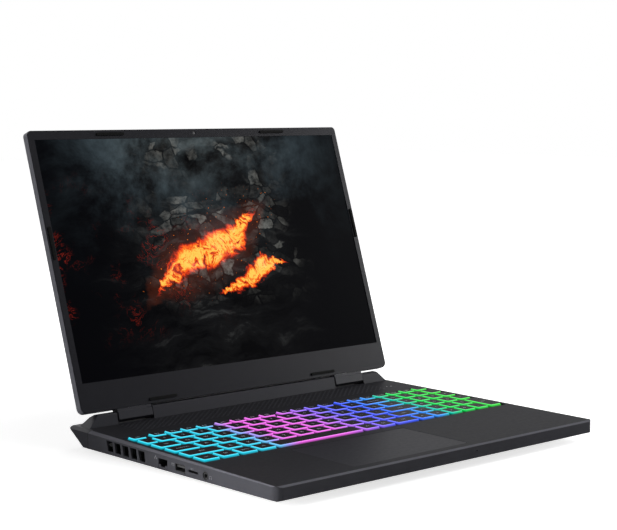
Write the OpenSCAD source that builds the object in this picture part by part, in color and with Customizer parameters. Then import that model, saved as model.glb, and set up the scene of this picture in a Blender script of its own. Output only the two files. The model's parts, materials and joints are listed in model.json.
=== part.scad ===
/*
Laptop computer with a 16 inch screen: every piece is a module of its own.
Units are millimetres, +X is to the user's right, +Y is to the back, +Z is up.
The origin lies on the desk, in the middle of the underside of the long rear foot.
Base pieces are drawn with Y counted from the case's front edge, in base_frame().
Lid pieces are drawn flat in lid_frame(): X across, Y up the screen from the
hinge axis, Z towards the user.
*/

/* [Case] */
// Width of the base
case_w = 360.1; // [356:0.1:372]
// Depth of the base, front edge to rear tip
case_d = 279.9; // [278:0.1:284]
// Height of the deck above the desk
deck_z = 19; // [18.6:0.1:20]
// Thickness of the side walls
wall = 2; // [1.6:0.1:2.2]
// Thickness of the deck plate
deck_t = 2.4; // [2.2:0.1:2.6]
// Radius of the two front corners in plan
front_corner_r = 7; // [4:0.5:10]
// Radius of the two rear corners in plan
rear_corner_r = 3; // [2.5:0.5:5]
// Width of the bevel along the sides of the deck, at the rear
side_bevel_w = 4.2; // [2:0.1:4.4]
// Height of the bevel along the sides of the deck, at the rear
side_bevel_h = 2; // [0.5:0.1:2.2]
// Width of the bevel along the sides of the deck, at the front
side_bevel_front = 1.2; // [0.6:0.1:2]
// Width of the bevel along the front of the deck
front_bevel_w = 2.2; // [1:0.1:3]
// Height of the bevel along the front of the deck
front_bevel_h = 1.1; // [0.5:0.1:1.6]
// Thickness of the bottom cover
floor_t = 1.4; // [1.2:0.1:1.6]
// Height of the lower edge of the front wall above the desk
front_edge_z = 8.2; // [7:0.1:9]
// Depth of the underside's slope behind the front wall
under_slope_d = 25; // [20:1:28]
// Width of the underside's slope along the side walls, at the front
under_slope_w = 20; // [14:1:24]
// Distance from the rear tip to the lower edge of the rear face
rear_low_in = 22.4; // [21:0.1:24]
// Distance from the rear tip to the seam of the rear housing
rear_seam_in = 29.9; // [28:0.1:33]
// Height of the rear tip's blunt edge
tip_h = 1; // [0.6:0.1:1.6]
// Distance of the front bottom screws from the side
front_screw_in = 21.55; // [21.05:0.5:23.05]
// Distance of the middle bottom screws from the centre line
inner_screw_x = 110; // [106:1:116]
// Radius of the screw bosses
boss_r = 2.6; // [2.2:0.1:3]

/* [Feet and screws] */
// Height of the rubber feet
foot_h = 2.3; // [2:0.1:3]
// Width of the rubber feet, front to back
foot_w = 9; // [6:0.5:10]
// Length of the long rear foot
rear_foot_l = 250; // [180:5:270]
// Distance from the rear tip to the middle of the rear foot
rear_foot_in = 38.9; // [34:0.1:44]
// Length of each front foot
front_foot_l = 42; // [30:1:60]
// Distance from the front edge to the middle of the front feet
front_foot_y = 34; // [32:1:40]
// Distance of each front foot's middle from the centre line
front_foot_x = 122; // [100:1:130]
// Radius of the bottom screws' heads
screw_head_r = 2.5; // [2.2:0.1:3]
// Radius of the bottom screws' shanks
screw_r = 1.1; // [0.9:0.1:1.3]
// Height of the screw heads
screw_head_h = 0.7; // [0.5:0.1:0.9]
// Length of the screws' shanks above their heads
screw_l = 6; // [4:0.5:8]

/* [Keyboard] */
// Pitch of the main keys
key_unit = 19.05; // [18.8:0.05:19.1]
// Pitch of the keys of the function row
fn_unit = 16.3; // [16:0.05:16.4]
// Extra gap after escape and after each group of four function keys
fn_gap = 3.85; // [3:0.05:4]
// Pitch of the number pad's columns
pad_unit = 17; // [16.6:0.05:17.1]
// Depth of the function row, gap included
fn_depth = 13.75; // [13:0.05:14]
// Gap between the feet of neighbouring keys
key_gap = 2.85; // [2.2:0.05:3.2]
// Height of a key cap
key_h = 2.1; // [1.9:0.05:2.3]
// How far a key goes down
key_travel = 1.3; // [1:0.05:1.3]
// Height of the key tops above the deck
key_rise = 1.1; // [0.8:0.05:1.1]
// How much narrower a key's top is on each side
key_taper = 0.9; // [0.4:0.05:1.2]
// Radius of the key caps' corners
key_corner_r = 1.3; // [1:0.1:1.6]
// Distance from the case's front edge to the front of the key field
keys_front_y = 97.5; // [97:0.5:98]
// Space between the key field and the edge of its well
well_margin = 1.9; // [1.5:0.1:2.2]
// Thickness of the keyboard's steel plate
plate_t = 0.8; // [0.6:0.1:1]
// How far the plate reaches under the deck around the well
plate_lap = 2.4; // [1:0.1:2.6]
// Thickness of the backlight sheet
sheet_t = 0.5; // [0.3:0.1:0.6]
// Width of the guide leg below each key
leg_w = 4; // [3:0.1:5]
// How far a guide leg reaches into the plate at rest
leg_dip = 0.3; // [0.2:0.05:0.5]
// Clearance around each guide leg
leg_clear = 0.3; // [0.2:0.05:0.5]

/* [Touchpad] */
// Width of the touchpad
touchpad_w = 125.4; // [110:0.1:130]
// Depth of the touchpad
touchpad_d = 75; // [70:0.5:76]
// Thickness of the touchpad
touchpad_t = 1.6; // [1.2:0.1:1.8]
// Distance from the case's front edge to the touchpad
touchpad_front_y = 10.5; // [9:0.5:12]
// Sideways place of the touchpad's middle
touchpad_x = -32.3; // [-40:0.1:-25]
// Gap around the touchpad
touchpad_gap = 0.4; // [0.3:0.05:0.6]
// How far the touchpad lies below the deck
touchpad_sink = 0.15; // [0:0.05:0.4]
// Room below the touchpad for its click
click_room = 1.2; // [1.1:0.1:1.6]

/* [Left side] */
// Number of slots in each side vent
vent_n = 5; // [3:1:5]
// Distance from the rear tip to the first vent slot
vent_rear_in = 114.6; // [111.9:0.1:117.9]
// Pitch of the vent slots
vent_pitch = 11.5; // [11:0.1:11.6]
// Width of a vent slot
vent_w = 9; // [7:0.1:9.4]
// Height of the vent slots' lower edge
vent_low = 7.3; // [7:0.1:8]
// Height of a vent slot
vent_h = 8.6; // [7:0.1:8.8]
// How far the top of a vent slot leans to the back
vent_lean = 2.4; // [1:0.1:3]
// Distance from the rear tip to the middle of the network socket
net_rear_in = 138.9; // [137.9:0.5:139.9]
// Height of the network socket's opening
net_h = 8.2; // [8:0.1:8.3]
// Width of the network socket's opening
net_w = 12; // [11.8:0.1:12.4]
// Thickness of the network socket's floor
net_floor = 0.4; // [0.3:0.05:0.6]
// Thickness of the network socket's other walls
net_wall = 1.1; // [0.8:0.1:1.2]
// Depth of the network socket
net_d = 15; // [13:0.5:15]
// Height of the hinged lip below the network socket
jaw_h = 3.3; // [2.6:0.1:3.4]
// Thickness of the hinged lip
jaw_t = 1.4; // [1.2:0.1:1.6]
// Distance from the rear tip to the middle of the left USB socket
usb_left_in = 162.3; // [160.9:0.1:163.9]
// Distance from the rear tip to the middle of the card slot
card_rear_in = 179.1; // [178.9:0.1:180.4]
// Width of the card slot
card_w = 12; // [11.5:0.1:12.5]
// Height of the card slot
card_h = 1.8; // [1.4:0.1:2]
// Distance from the rear tip to the headset socket's axis
jack_rear_in = 194.9; // [193.9:0.5:197.9]
// Radius of the headset socket's bore
jack_r = 1.75; // [1.7:0.05:1.8]
// Outer radius of the headset socket's collar
jack_collar_r = 3.3; // [3:0.1:3.5]
// Height of the ports' middle line above the desk
port_z = 11.5; // [11:0.1:12]

/* [Right side and rear] */
// Distance from the front edge to the first right USB socket
usb_right_y = 104; // [95:0.5:108]
// Distance between the two right USB sockets
usb_right_pitch = 22; // [20:0.5:24]
// Width of a USB socket's shell
usb_w = 13.2; // [13:0.1:13.6]
// Height of a USB socket's shell
usb_h = 5.9; // [5.7:0.1:6.2]
// Depth of a USB socket's shell
usb_d = 14; // [12:0.5:15]
// Thickness of the sockets' sheet metal
metal_t = 0.35; // [0.3:0.05:0.45]
// Clearance between a socket and the cut-out in the case
port_clear = 0.15; // [0.1:0.05:0.3]
// Length of the lock slot
lock_l = 7; // [6.5:0.1:7.2]
// Height of the lock slot
lock_h = 3; // [2.8:0.1:3.2]
// Distance from the front edge to the lock slot
lock_y = 80; // [74:1:84]
// Width of the upright block that holds the rear sockets
bay_w = 124; // [120:1:130]
// Distance from the rear tip to the upright wall of the rear sockets
bay_in = 7.9; // [6:0.1:8.3]
// Pitch of the exhaust grille's slots
grille_pitch = 7; // [5:0.5:9]
// Width of the bars between the exhaust slots
grille_bar = 2.4; // [1.6:0.1:3]
// Length of the exhaust slots along the slope
grille_l = 16; // [10:0.5:17]
// Radius of the power inlet's bore
inlet_r = 2.75; // [2.6:0.05:2.9]

/* [Lid] */
// How far each side of the lid lies in from the side of the case
lid_side_in = 1.65; // [1:0.05:3]
// How far the closed lid's edge lies behind the case's front edge
lid_front_in = 5.05; // [4.35:0.05:5.85]
// Thickness of the lid
lid_t = 8; // [7.7:0.05:8.2]
// Thickness of the lid's back cover
lid_wall = 1.5; // [1.3:0.1:1.6]
// Thickness of the screen surround
bezel_t = 1.3; // [1.1:0.1:1.4]
// Radius of the lid's upper corners
lid_top_r = 4; // [3:0.5:8]
// Radius of the lid's lower corners
lid_low_r = 5.5; // [4:0.5:10]
// Width of the surround on each side of the screen
bezel_side = 5.75; // [5.4:0.05:8.4]
// Width of the surround above the screen
bezel_top = 8.5; // [8.1:0.1:15]
// Width of the surround below the screen
chin_h = 25.7; // [25:0.1:26.5]
// Thickness of the display panel
panel_t = 2.7; // [2.4:0.1:2.8]
// How far the panel lies below the surround's face
panel_sink = 0.6; // [0.4:0.1:0.8]
// How far the panel reaches behind the surround
panel_lap = 2.6; // [1.5:0.1:2.8]
// How far the panel reaches down behind the chin
panel_foot = 5; // [3:0.5:8]
// Height of the rubber bumpers above the surround
bumper_h = 1.2; // [0.8:0.05:1.3]
// Length of the rubber bumpers
bumper_l = 29.5; // [24:0.5:32]
// Width of the rubber bumpers
bumper_w = 2.6; // [2:0.1:3]

/* [Hinge] */
// Angle between lid and deck as drawn
open_angle = 108.5; // [95:0.5:125]
// Distance from the rear tip to the hinge axis
hinge_in = 17.9; // [17.5:0.1:18.1]
// Height of the hinge axis above the deck
hinge_up = 5.5; // [5.4:0.05:5.7]
// Gap between the closed lid's surround and the deck
closed_gap = 1.45; // [1.4:0.05:1.6]
// Distance from the hinge axis to the lid's lower edge
lid_reach = 6.15; // [6.1:0.05:6.3]
// Distance from the centre line to the inner end of a hinge barrel
barrel_in = 108.1; // [106:0.1:109]
// Length of a hinge barrel
barrel_l = 35.2; // [30:0.1:37]
// Half the thickness of a hinge barrel
barrel_half = 4.8; // [4.2:0.1:4.9]
// Gap at each end of a hinge barrel
barrel_gap = 1.1; // [0.6:0.1:1.4]
// Distance from the side of the case to the outer foot of a hinge shoulder
shoulder_in = 6.05; // [5.05:0.5:12.05]
// Height of the hinge cover above the deck
hump_h = 10.9; // [10.3:0.1:11]
// Height of the hinge shoulders above the deck
shoulder_h = 9.6; // [8.6:0.1:10.4]
// Distance from the foot of the hinge cover's front to the hinge axis
hump_front = 5.6; // [5.5:0.05:5.75]
// How far the hinge cover's front leans back over its height
hump_lean = 2.8; // [1.6:0.1:3]
// Thickness of the hinge cover's wall
hump_t = 1.2; // [1:0.05:1.25]
// Radius of the hinge pins
pin_r = 1.5; // [1.2:0.05:1.6]
// Running clearance between pin and knuckle
pin_clear = 0.05; // [0.02:0.01:0.08]
// Outer radius of the base hinges' knuckles
knuckle_r = 2.5; // [2.2:0.05:2.55]
// Length of a knuckle
knuckle_l = 11; // [8:0.5:14]

/* [Cooling] */
// Distance of each fan's axis from the side
fan_side_in = 62.05; // [61.05:0.5:64.05]
// Distance from the rear tip to the fans' axes
fan_rear_in = 82.9; // [81.9:0.5:83.9]
// Side of a fan housing
fan_w = 82; // [78:1:84]
// Height of a fan housing
fan_h = 9.4; // [8.5:0.1:9.6]
// Radius of a fan's inlet
fan_inlet_r = 24; // [20:1:27]
// Radius of the fan blades' tips
blade_r = 35; // [30:0.5:36]
// Radius of a fan's hub
hub_r = 13; // [11:0.5:15]
// Number of blades of a fan
blade_n = 29; // [15:2:37]
// Thickness of a fan blade
blade_t = 0.6; // [0.4:0.1:0.9]
// Thickness of a fan housing's sheets
fan_sheet = 0.7; // [0.5:0.1:0.9]
// Radius of a fan's shaft
shaft_r = 1.2; // [1:0.1:1.5]
// Pitch of the cooling fins
fin_pitch = 2.4; // [2:0.1:3]
// Thickness of a cooling fin
fin_t = 0.4; // [0.3:0.1:0.6]
// Depth of the rear fin stacks
fin_d = 9; // [8:0.5:9.5]
// Width of a heat pipe
pipe_w = 7; // [6:0.5:8]
// Thickness of a heat pipe
pipe_t = 2.6; // [2:0.1:3]

/* [Electronics] */
// Height of the circuit board's underside above the desk
board_z = 10.4; // [10.2:0.1:10.8]
// Thickness of the circuit board
board_t = 1.2; // [1:0.1:1.4]
// Gap between the battery and each loudspeaker
battery_gap = 10.9; // [8.9:0.5:18.9]
// Depth of the battery
battery_d = 59; // [50:1:60]
// Thickness of the battery
battery_t = 8.5; // [7:0.1:9]
// Width of a loudspeaker
speaker_w = 26; // [22:0.5:28]
// Depth of a loudspeaker
speaker_d = 52; // [40:1:54]
// Height of a loudspeaker
speaker_h = 7.5; // [6:0.1:8]

/* [Hidden] */
$fn = 48;
eps = 0.01;
big = 500;
half_w = case_w / 2;
rear_low_y = case_d - rear_low_in;
rear_seam_y = case_d - rear_seam_in;
rear_foot_y = case_d - rear_foot_in;
bay_y = case_d - bay_in;
hinge_y = case_d - hinge_in;
hump_y = hinge_y - hump_front;
front_screw_x = half_w - front_screw_in;
fan_x = half_w - fan_side_in;
fan_y = case_d - fan_rear_in;
vent_y = case_d - vent_rear_in;
net_y = case_d - net_rear_in;
usb_left_y = case_d - usb_left_in;
card_y = case_d - card_rear_in;
jack_y = case_d - jack_rear_in;
shoulder_out = half_w - shoulder_in;
speaker_x = front_screw_x - boss_r - 1 - speaker_w;
battery_w = 2 * (speaker_x - battery_gap);
lid_w = case_w - 2 * lid_side_in;
lid_h = hinge_y - lid_reach - lid_front_in;
screen_w = lid_w - 2 * bezel_side;
screen_h = lid_h - chin_h - bezel_top;
edge_rear_z = foot_h + floor_t;
edge_slope = atan((front_edge_z - edge_rear_z) / rear_low_y);
under_slope_a = atan((front_edge_z - foot_h) / under_slope_w);
under_deck_z = deck_z - deck_t;
tip_z = deck_z - tip_h;
rear_slope = atan((tip_z - edge_rear_z) / (case_d - rear_low_y));
rear_shift = wall / sin(rear_slope);

// Height of the joint between the walls and the bottom cover
function joint_z(y) = front_edge_z + (edge_rear_z - front_edge_z) * y / rear_low_y;

// Key field
keys_left = -(14.5 * key_unit + 4 * pad_unit) / 2;
pad_left = keys_left + 14.5 * key_unit;
keys_right = pad_left + 4 * pad_unit;
fn_row_y = keys_front_y + 5 * key_unit;
keys_rear_y = fn_row_y + fn_depth;
key_top_z = deck_z + key_rise;
key_base_z = key_top_z - key_h;
sheet_z = under_deck_z - plate_t - sheet_t;
number_row = [0.75, 1, 1, 1, 1, 1, 1, 1, 1, 1, 1, 1, 1, 1.75];
upper_row = [1.25, 1, 1, 1, 1, 1, 1, 1, 1, 1, 1, 1, 1, 1.25];
home_row = [1.5, 1, 1, 1, 1, 1, 1, 1, 1, 1, 1, 1, 2];
lower_row = [2, 1, 1, 1, 1, 1, 1, 1, 1, 1, 1, 1.5, 1];
bottom_row = [1, 1, 1, 1, 5, 1, 1, 1.5, 1, 1];
main_rows = [bottom_row, lower_row, home_row, upper_row, number_row];

// Screws: places on the right half, mirrored to the left, and one in the middle
inner_screw_y = keys_front_y - well_margin - plate_lap - boss_r - 0.2;
rear_screw_y = rear_seam_y - boss_r - 1;
screw_spots = [
    [front_screw_x, under_slope_d + 4],
    [front_screw_x, inner_screw_y],
    [inner_screw_x, inner_screw_y],
    [half_w - wall - boss_r - 4, rear_screw_y]];
battery_y = under_slope_d + 1.5;
screw_seat_z = foot_h + 0.1;

// Ports
side_x = half_w - wall;
net_low = joint_z(net_y - net_w / 2 - net_wall) + net_floor;
grille_in = bay_w / 2 + 8;
grille_out = half_w - 16;

// Hinge and lid
hinge_z = deck_z + hinge_up;
lid_face = hinge_up - closed_gap;
lid_back = lid_face - lid_t;
screen_low = lid_reach + chin_h;
screen_top = screen_low + screen_h;
lid_top = lid_reach + lid_h;
panel_face = lid_face - panel_sink;
panel_back = panel_face - panel_t;
barrel_out = barrel_in + barrel_l;
shoulder_slope_w = 9;
leaf_t = 1.2;
knuckle_in = barrel_in - barrel_gap - hump_t - 0.3 - knuckle_l;

// Cooling
fan_floor_z = edge_rear_z + 0.2;
fan_top_z = fan_floor_z + fan_h;
pipe_z = edge_rear_z + 0.5;
fin_low = pipe_z + pipe_t;
fin_high = fan_top_z + 1.4;
rear_fin_y = fan_y + fan_w / 2 + 0.4;
side_fin_x = fan_x + fan_w / 2 + 0.4;
cpu_x = -36;
gpu_x = 34;
chip_y = fan_y - 1;
plate_half = 19;
chip_h = 1.6;
blade_len = sqrt(pow(blade_r, 2) - pow(hub_r * sin(24), 2)) - hub_r * cos(24) - 0.4;

// ---------- shared helpers ----------

// Base pieces are drawn with Y counted from the case's front edge
module base_frame() {
    translate([0, -rear_foot_y, 0]) children();
}

// Lid pieces are drawn flat, from the hinge axis, and stood up by the open angle
module lid_frame() {
    translate([0, hinge_y - rear_foot_y, hinge_z])
        rotate([180 - open_angle, 0, 0])
            children();
}

module mirrored() {
    children();
    mirror([1, 0, 0]) children();
}

// A side view, drawn in Y and Z, drawn out from x0 to x1
module along_x(x0, x1) {
    translate([x0, 0, 0])
        rotate([90, 0, 90])
            linear_extrude(x1 - x0)
                children();
}

// A front view, drawn in X and Z, drawn out from y0 to y1
module along_y(y0, y1) {
    translate([0, y1, 0])
        rotate([90, 0, 0])
            linear_extrude(y1 - y0)
                children();
}

module box(x0, x1, y0, y1, z0, z1) {
    translate([x0, y0, z0]) cube([x1 - x0, y1 - y0, z1 - z0]);
}

// A rectangle from its lower left corner, with radii r0 at the front, r1 at the back
module round_rect(x0, y0, w, d, r0, r1) {
    x1 = x0 + w;
    y1 = y0 + d;
    for (x = [x0 + r0, x1 - r0]) translate([x, y0 + r0]) circle(r0);
    for (x = [x0 + r1, x1 - r1]) translate([x, y1 - r1]) circle(r1);
    translate([x0 + r0, y0]) square([w - 2 * r0, d / 2]);
    translate([x0 + r1, y0 + d / 2]) square([w - 2 * r1, d / 2]);
    translate([x0, y0 + r0]) square([w, d - r0 - r1]);
}

module round_box(x0, x1, y0, y1, z0, z1, r) {
    translate([0, 0, z0])
        linear_extrude(z1 - z0)
            round_rect(x0, y0, x1 - x0, y1 - y0, r, r);
}

// ---------- case ----------

// Outline of the case seen from above, drawn in by the inset
module case_plan(inset) {
    round_rect(-half_w + inset, inset, case_w - 2 * inset, case_d - 2 * inset,
        front_corner_r - inset, rear_corner_r - inset);
}

// What the bevels take off both sides of the deck: they widen towards the back
module side_bevels() {
    mirrored()
        translate([half_w - side_bevel_front, 0, deck_z])
            rotate([0, 0, atan((side_bevel_w - side_bevel_front) / case_d)])
                rotate([0, atan(side_bevel_h / side_bevel_w), 0])
                    translate([0, -rear_corner_r, 0])
                        cube([2 * side_bevel_w, big, 2 * side_bevel_h]);
}

// Everything above the joint with the bottom cover, before its side bevels
module upper_block() {
    intersection() {
        linear_extrude(deck_z + 1) case_plan(0);
        along_x(-half_w, half_w)
            polygon([
                [0, front_edge_z],
                [0, deck_z - front_bevel_h],
                [front_bevel_w, deck_z],
                [case_d - tip_h, deck_z],
                [case_d, tip_z],
                [rear_low_y, edge_rear_z]]);
    }
}

module upper_outside() {
    difference() {
        upper_block();
        side_bevels();
    }
}

module upper_inside() {
    intersection() {
        linear_extrude(under_deck_z) case_plan(wall);
        along_x(-half_w, half_w)
            polygon([
                [wall, 0],
                [wall, deck_z],
                [case_d - rear_shift + wall, deck_z],
                [rear_low_y - rear_shift - 4, 0]]);
    }
}

// Where the top case ends: its deck runs up to the hinge cover between the bevels
module top_case_zone() {
    box(-half_w - 1, half_w + 1, -1, rear_seam_y, 0, deck_z + 1);
    box(-shoulder_out, shoulder_out, 0, hump_y, under_deck_z, deck_z + 1);
}

module side_vent_slots() {
    for (i = [0 : vent_n - 1]) {
        y = vent_y + i * vent_pitch;
        along_x(side_x - 1, half_w + 1)
            polygon([
                [y, vent_low],
                [y + vent_w - vent_lean / 2, vent_low],
                [y + vent_w + vent_lean / 2, vent_low + vent_h],
                [y + vent_lean / 2, vent_low + vent_h]]);
    }
}

module keyboard_window() {
    translate([0, 0, under_deck_z - 1])
        linear_extrude(deck_z)
            round_rect(keys_left - well_margin, keys_front_y - well_margin,
                keys_right - keys_left + 2 * well_margin,
                keys_rear_y - keys_front_y + 2 * well_margin, 2, 2);
}

module touchpad_plan(margin) {
    round_rect(touchpad_x - touchpad_w / 2 - margin, touchpad_front_y - margin,
        touchpad_w + 2 * margin, touchpad_d + 2 * margin, 2, 2);
}

module lock_slot() {
    along_x(side_x - 1, half_w + 1)
        round_rect(lock_y - lock_l / 2, port_z - lock_h / 2, lock_l, lock_h, 0.9, 0.9);
}

module usb_hole() {
    round_rect(-usb_w / 2 - port_clear, port_z - usb_h / 2 - port_clear,
        usb_w + 2 * port_clear, usb_h + 2 * port_clear, 0.6, 0.6);
}

module left_port_holes() {
    along_x(-half_w - 1, -side_x + 1) {
        translate([net_y, 0]) translate([-net_w / 2, net_low]) square([net_w, net_h]);
        translate([usb_left_y, 0]) usb_hole();
        translate([card_y - card_w / 2, port_z - card_h / 2]) square([card_w, card_h]);
        translate([jack_y, port_z]) circle(jack_collar_r + port_clear);
    }
}

module right_port_holes() {
    along_x(side_x - 1, half_w + 1)
        for (i = [0, 1])
            translate([usb_right_y + i * usb_right_pitch, 0]) usb_hole();
}

module boss(x, y) {
    difference() {
        translate([x, y, edge_rear_z])
            cylinder(r = boss_r, h = under_deck_z - edge_rear_z + eps);
        translate([x, y, edge_rear_z - 1])
            cylinder(r = screw_r + 0.05, h = screw_l + 1);
    }
}

module bosses() {
    for (s = screw_spots) mirrored() boss(s[0], s[1]);
    boss(0, rear_screw_y);
}

// The troughs below the hinge barrels
module barrel_troughs() {
    mirrored()
        translate([barrel_in - barrel_gap, hinge_y, hinge_z])
            rotate([0, 90, 0])
                cylinder(r = hinge_up + 0.6, h = barrel_l + 2 * barrel_gap);
}

module top_case() {
    color("#47474b") base_frame() difference() {
        union() {
            intersection() {
                difference() {
                    upper_outside();
                    upper_inside();
                }
                top_case_zone();
            }
            bosses();
        }
        keyboard_window();
        translate([0, 0, under_deck_z - 1]) linear_extrude(deck_z) touchpad_plan(touchpad_gap);
        mirrored() side_vent_slots();
        left_port_holes();
        right_port_holes();
        lock_slot();
        barrel_troughs();
        translate([30.4, -1, 13.5]) rotate([-90, 0, 0]) cylinder(r = 0.5, h = wall + 2);
    }
}

// Slots of one exhaust grille, cut square through the sloping rear face
module grille_slots() {
    n = floor((grille_out - grille_in) / grille_pitch);
    for (i = [0 : n - 1])
        translate([grille_in + i * grille_pitch, case_d, tip_z])
            rotate([rear_slope, 0, 0])
                translate([0, -grille_l - 5, -wall - 2])
                    cube([grille_pitch - grille_bar, grille_l, wall + 4]);
}

// The upright block between the grilles, which holds the rear sockets
module rear_outside() {
    difference() {
        upper_outside();
        box(-bay_w / 2, bay_w / 2, bay_y, case_d + 1, 0, deck_z + 1);
    }
    box(-bay_w / 2, bay_w / 2, rear_low_y, bay_y, edge_rear_z, deck_z);
}

module rear_inside() {
    difference() {
        upper_inside();
        box(-bay_w / 2 - wall, bay_w / 2 + wall, bay_y - wall, case_d, 0, deck_z);
    }
    box(-bay_w / 2 + wall, bay_w / 2 - wall, rear_low_y - 8, bay_y - wall,
        edge_rear_z + floor_t, under_deck_z);
}

module rear_port_holes() {
    along_y(bay_y - wall - 1, bay_y + 1) rear_port_plans(port_clear);
}

module rear_housing() {
    color("#3f3f43") base_frame() difference() {
        rear_outside();
        rear_inside();
        top_case_zone();
        rear_port_holes();
        mirrored() grille_slots();
        barrel_troughs();
    }
}

// Outside of the shallow bottom pan
module pan_outside() {
    difference() {
        intersection() {
            linear_extrude(deck_z) case_plan(0);
            along_x(-half_w, half_w)
                polygon([
                    [under_slope_d, foot_h],
                    [0, front_edge_z],
                    [rear_low_y, edge_rear_z],
                    [rear_low_y - floor_t, foot_h]]);
        }
        mirrored()
            translate([half_w, 0, front_edge_z])
                rotate([-edge_slope, 0, 0])
                    rotate([0, -under_slope_a, 0])
                        translate([-half_w, -20, -30])
                            cube([2 * half_w, big, 30]);
    }
}

// Slots of the air inlet below one fan
module inlet_slots() {
    for (i = [-4 : 4])
        translate([fan_x + i * 5.5 - 1.3, fan_y, 0])
            translate([0, -sqrt(pow(fan_inlet_r + 2, 2) - pow(i * 5.5, 2)), 0])
                cube([2.6, 2 * sqrt(pow(fan_inlet_r + 2, 2) - pow(i * 5.5, 2)), deck_z]);
}

module screw_places() {
    for (s = screw_spots) mirrored() translate([s[0], s[1], 0]) children();
    translate([0, rear_screw_y, 0]) children();
}

module bottom_cover() {
    color("#2c2c2f") base_frame() difference() {
        pan_outside();
        translate([0, 0, floor_t]) pan_outside();
        mirrored() inlet_slots();
        screw_places() {
            translate([0, 0, -eps]) cylinder(r = screw_r + 0.1, h = deck_z);
            cylinder(r = screw_head_r + 0.2, h = screw_seat_z + screw_head_h);
        }
    }
}

module bottom_screws() {
    color("#1d1d20") base_frame() screw_places() difference() {
        union() {
            translate([0, 0, screw_seat_z])
                cylinder(r = screw_head_r, h = screw_head_h);
            translate([0, 0, screw_seat_z]) cylinder(r = screw_r, h = screw_l);
        }
        translate([0, 0, screw_seat_z - eps]) cylinder(r = 0.9, h = 0.45, $fn = 6);
    }
}

module foot(x, y, l) {
    round_box(x - l / 2, x + l / 2, y - foot_w / 2, y + foot_w / 2, 0, foot_h, foot_w / 2 - eps);
}

module rubber_feet() {
    color("#161617") base_frame() {
        foot(0, rear_foot_y, rear_foot_l);
        mirrored() foot(front_foot_x, front_foot_y, front_foot_l);
    }
}

// ---------- hinge line ----------

// Y of the leaning front of the hinge cover at a height above the deck
function hump_front_y(up) = hump_y + hump_lean * up / hump_h;

// Side view of the raised bar in front of which the lid stands
module hump_profile(height, inset) {
    edge = 0.8;
    up = height - edge - inset;
    polygon([
        [hump_y + inset, deck_z],
        [hump_front_y(up) + inset, deck_z + up],
        [hump_front_y(up) + inset + edge, deck_z + height - inset],
        [hinge_y + 2.5 - inset * 0.6, deck_z + height - inset],
        [hinge_y + 6.2 - inset, deck_z + 7],
        [hinge_y + 9.5 - inset * 1.2, deck_z]]);
}

module hinge_cover() {
    end_x = barrel_in - barrel_gap;
    color("#47474b") base_frame() difference() {
        along_x(-end_x, end_x) hump_profile(hump_h, 0);
        along_x(-end_x + hump_t, end_x - hump_t)
            translate([0, -eps]) hump_profile(hump_h, hump_t);
        mirrored()
            translate([end_x - hump_t - 1, hinge_y, hinge_z])
                rotate([0, 90, 0])
                    cylinder(r = pin_r + 0.3, h = hump_t + 2);
    }
}

module hinge_shoulders() {
    start_x = barrel_out + barrel_gap;
    color("#47474b") base_frame() mirrored() difference() {
        along_x(start_x, shoulder_out) hump_profile(shoulder_h, 0);
        translate([shoulder_out, hump_y - 5, deck_z])
            rotate([0, -atan(shoulder_h / shoulder_slope_w), 0])
                cube([30, 30, 30]);
    }
}

module base_hinges() {
    color("#8b8d90") base_frame() mirrored() difference() {
        union() {
            translate([knuckle_in, hinge_y, hinge_z])
                rotate([0, 90, 0])
                    cylinder(r = knuckle_r, h = knuckle_l);
            box(knuckle_in, knuckle_in + knuckle_l, hinge_y - 1, hinge_y + 1,
                deck_z + 1.2, hinge_z - pin_r);
            box(knuckle_in - 16, knuckle_in + knuckle_l, hump_y + hump_t + 0.8,
                hinge_y + 6.6, deck_z, deck_z + 1.4);
        }
        translate([knuckle_in - 1, hinge_y, hinge_z])
            rotate([0, 90, 0])
                cylinder(r = pin_r + pin_clear, h = knuckle_l + 2);
        for (x = [knuckle_in - 12, knuckle_in - 5])
            translate([x, hinge_y + 2, deck_z - 1]) cylinder(r = 1.1, h = 4);
    }
}

// ---------- keyboard ----------

function before(list, i) = i <= 0 ? 0 : list[i - 1] + before(list, i - 1);

function steps(i) = (i > 0 ? 1 : 0) + (i > 4 ? 1 : 0) + (i > 8 ? 1 : 0) + (i > 12 ? 1 : 0);

// Corner points of a rounded rectangle, counter-clockwise
function ring(x0, y0, x1, y1, r, z) = [
    for (c = [0 : 3], s = [0 : 2])
        let (
            a = 90 * c + 45 * s,
            cx = c == 0 || c == 3 ? x1 - r : x0 + r,
            cy = c < 2 ? y1 - r : y0 + r)
        [cx + r * cos(a), cy + r * sin(a), z]];

// Cap of one key in the cell that starts at x0, y0 and has the size w by d
module key_cap(x0, y0, w, d) {
    g = key_gap / 2;
    t = g + key_taper;
    low = ring(x0 + g, y0 + g, x0 + w - g, y0 + d - g, key_corner_r, key_base_z);
    top = ring(x0 + t, y0 + t, x0 + w - t, y0 + d - t, key_corner_r - 0.2, key_top_z);
    polyhedron(
        points = concat(low, top),
        faces = concat(
            [[for (i = [0 : 11]) i]],
            [[for (i = [0 : 11]) 23 - i]],
            [for (i = [0 : 11]) [i, i + 12, (i + 1) % 12 + 12, (i + 1) % 12]]));
}

module leg_plan(x0, y0, w, d, margin) {
    translate([x0 + w / 2 - leg_w / 2 - margin, y0 + d / 2 - leg_w / 2 - margin])
        square(leg_w + 2 * margin);
}

// What each key of a cell is: its cap and leg, or the hole for the leg
module key(x0, y0, w, d, part) {
    if (part == "hole") leg_plan(x0, y0, w, d, leg_clear);
    else {
        key_cap(x0, y0, w, d);
        translate([0, 0, under_deck_z - leg_dip])
            linear_extrude(key_base_z - under_deck_z + leg_dip)
                leg_plan(x0, y0, w, d, 0);
    }
}

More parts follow.
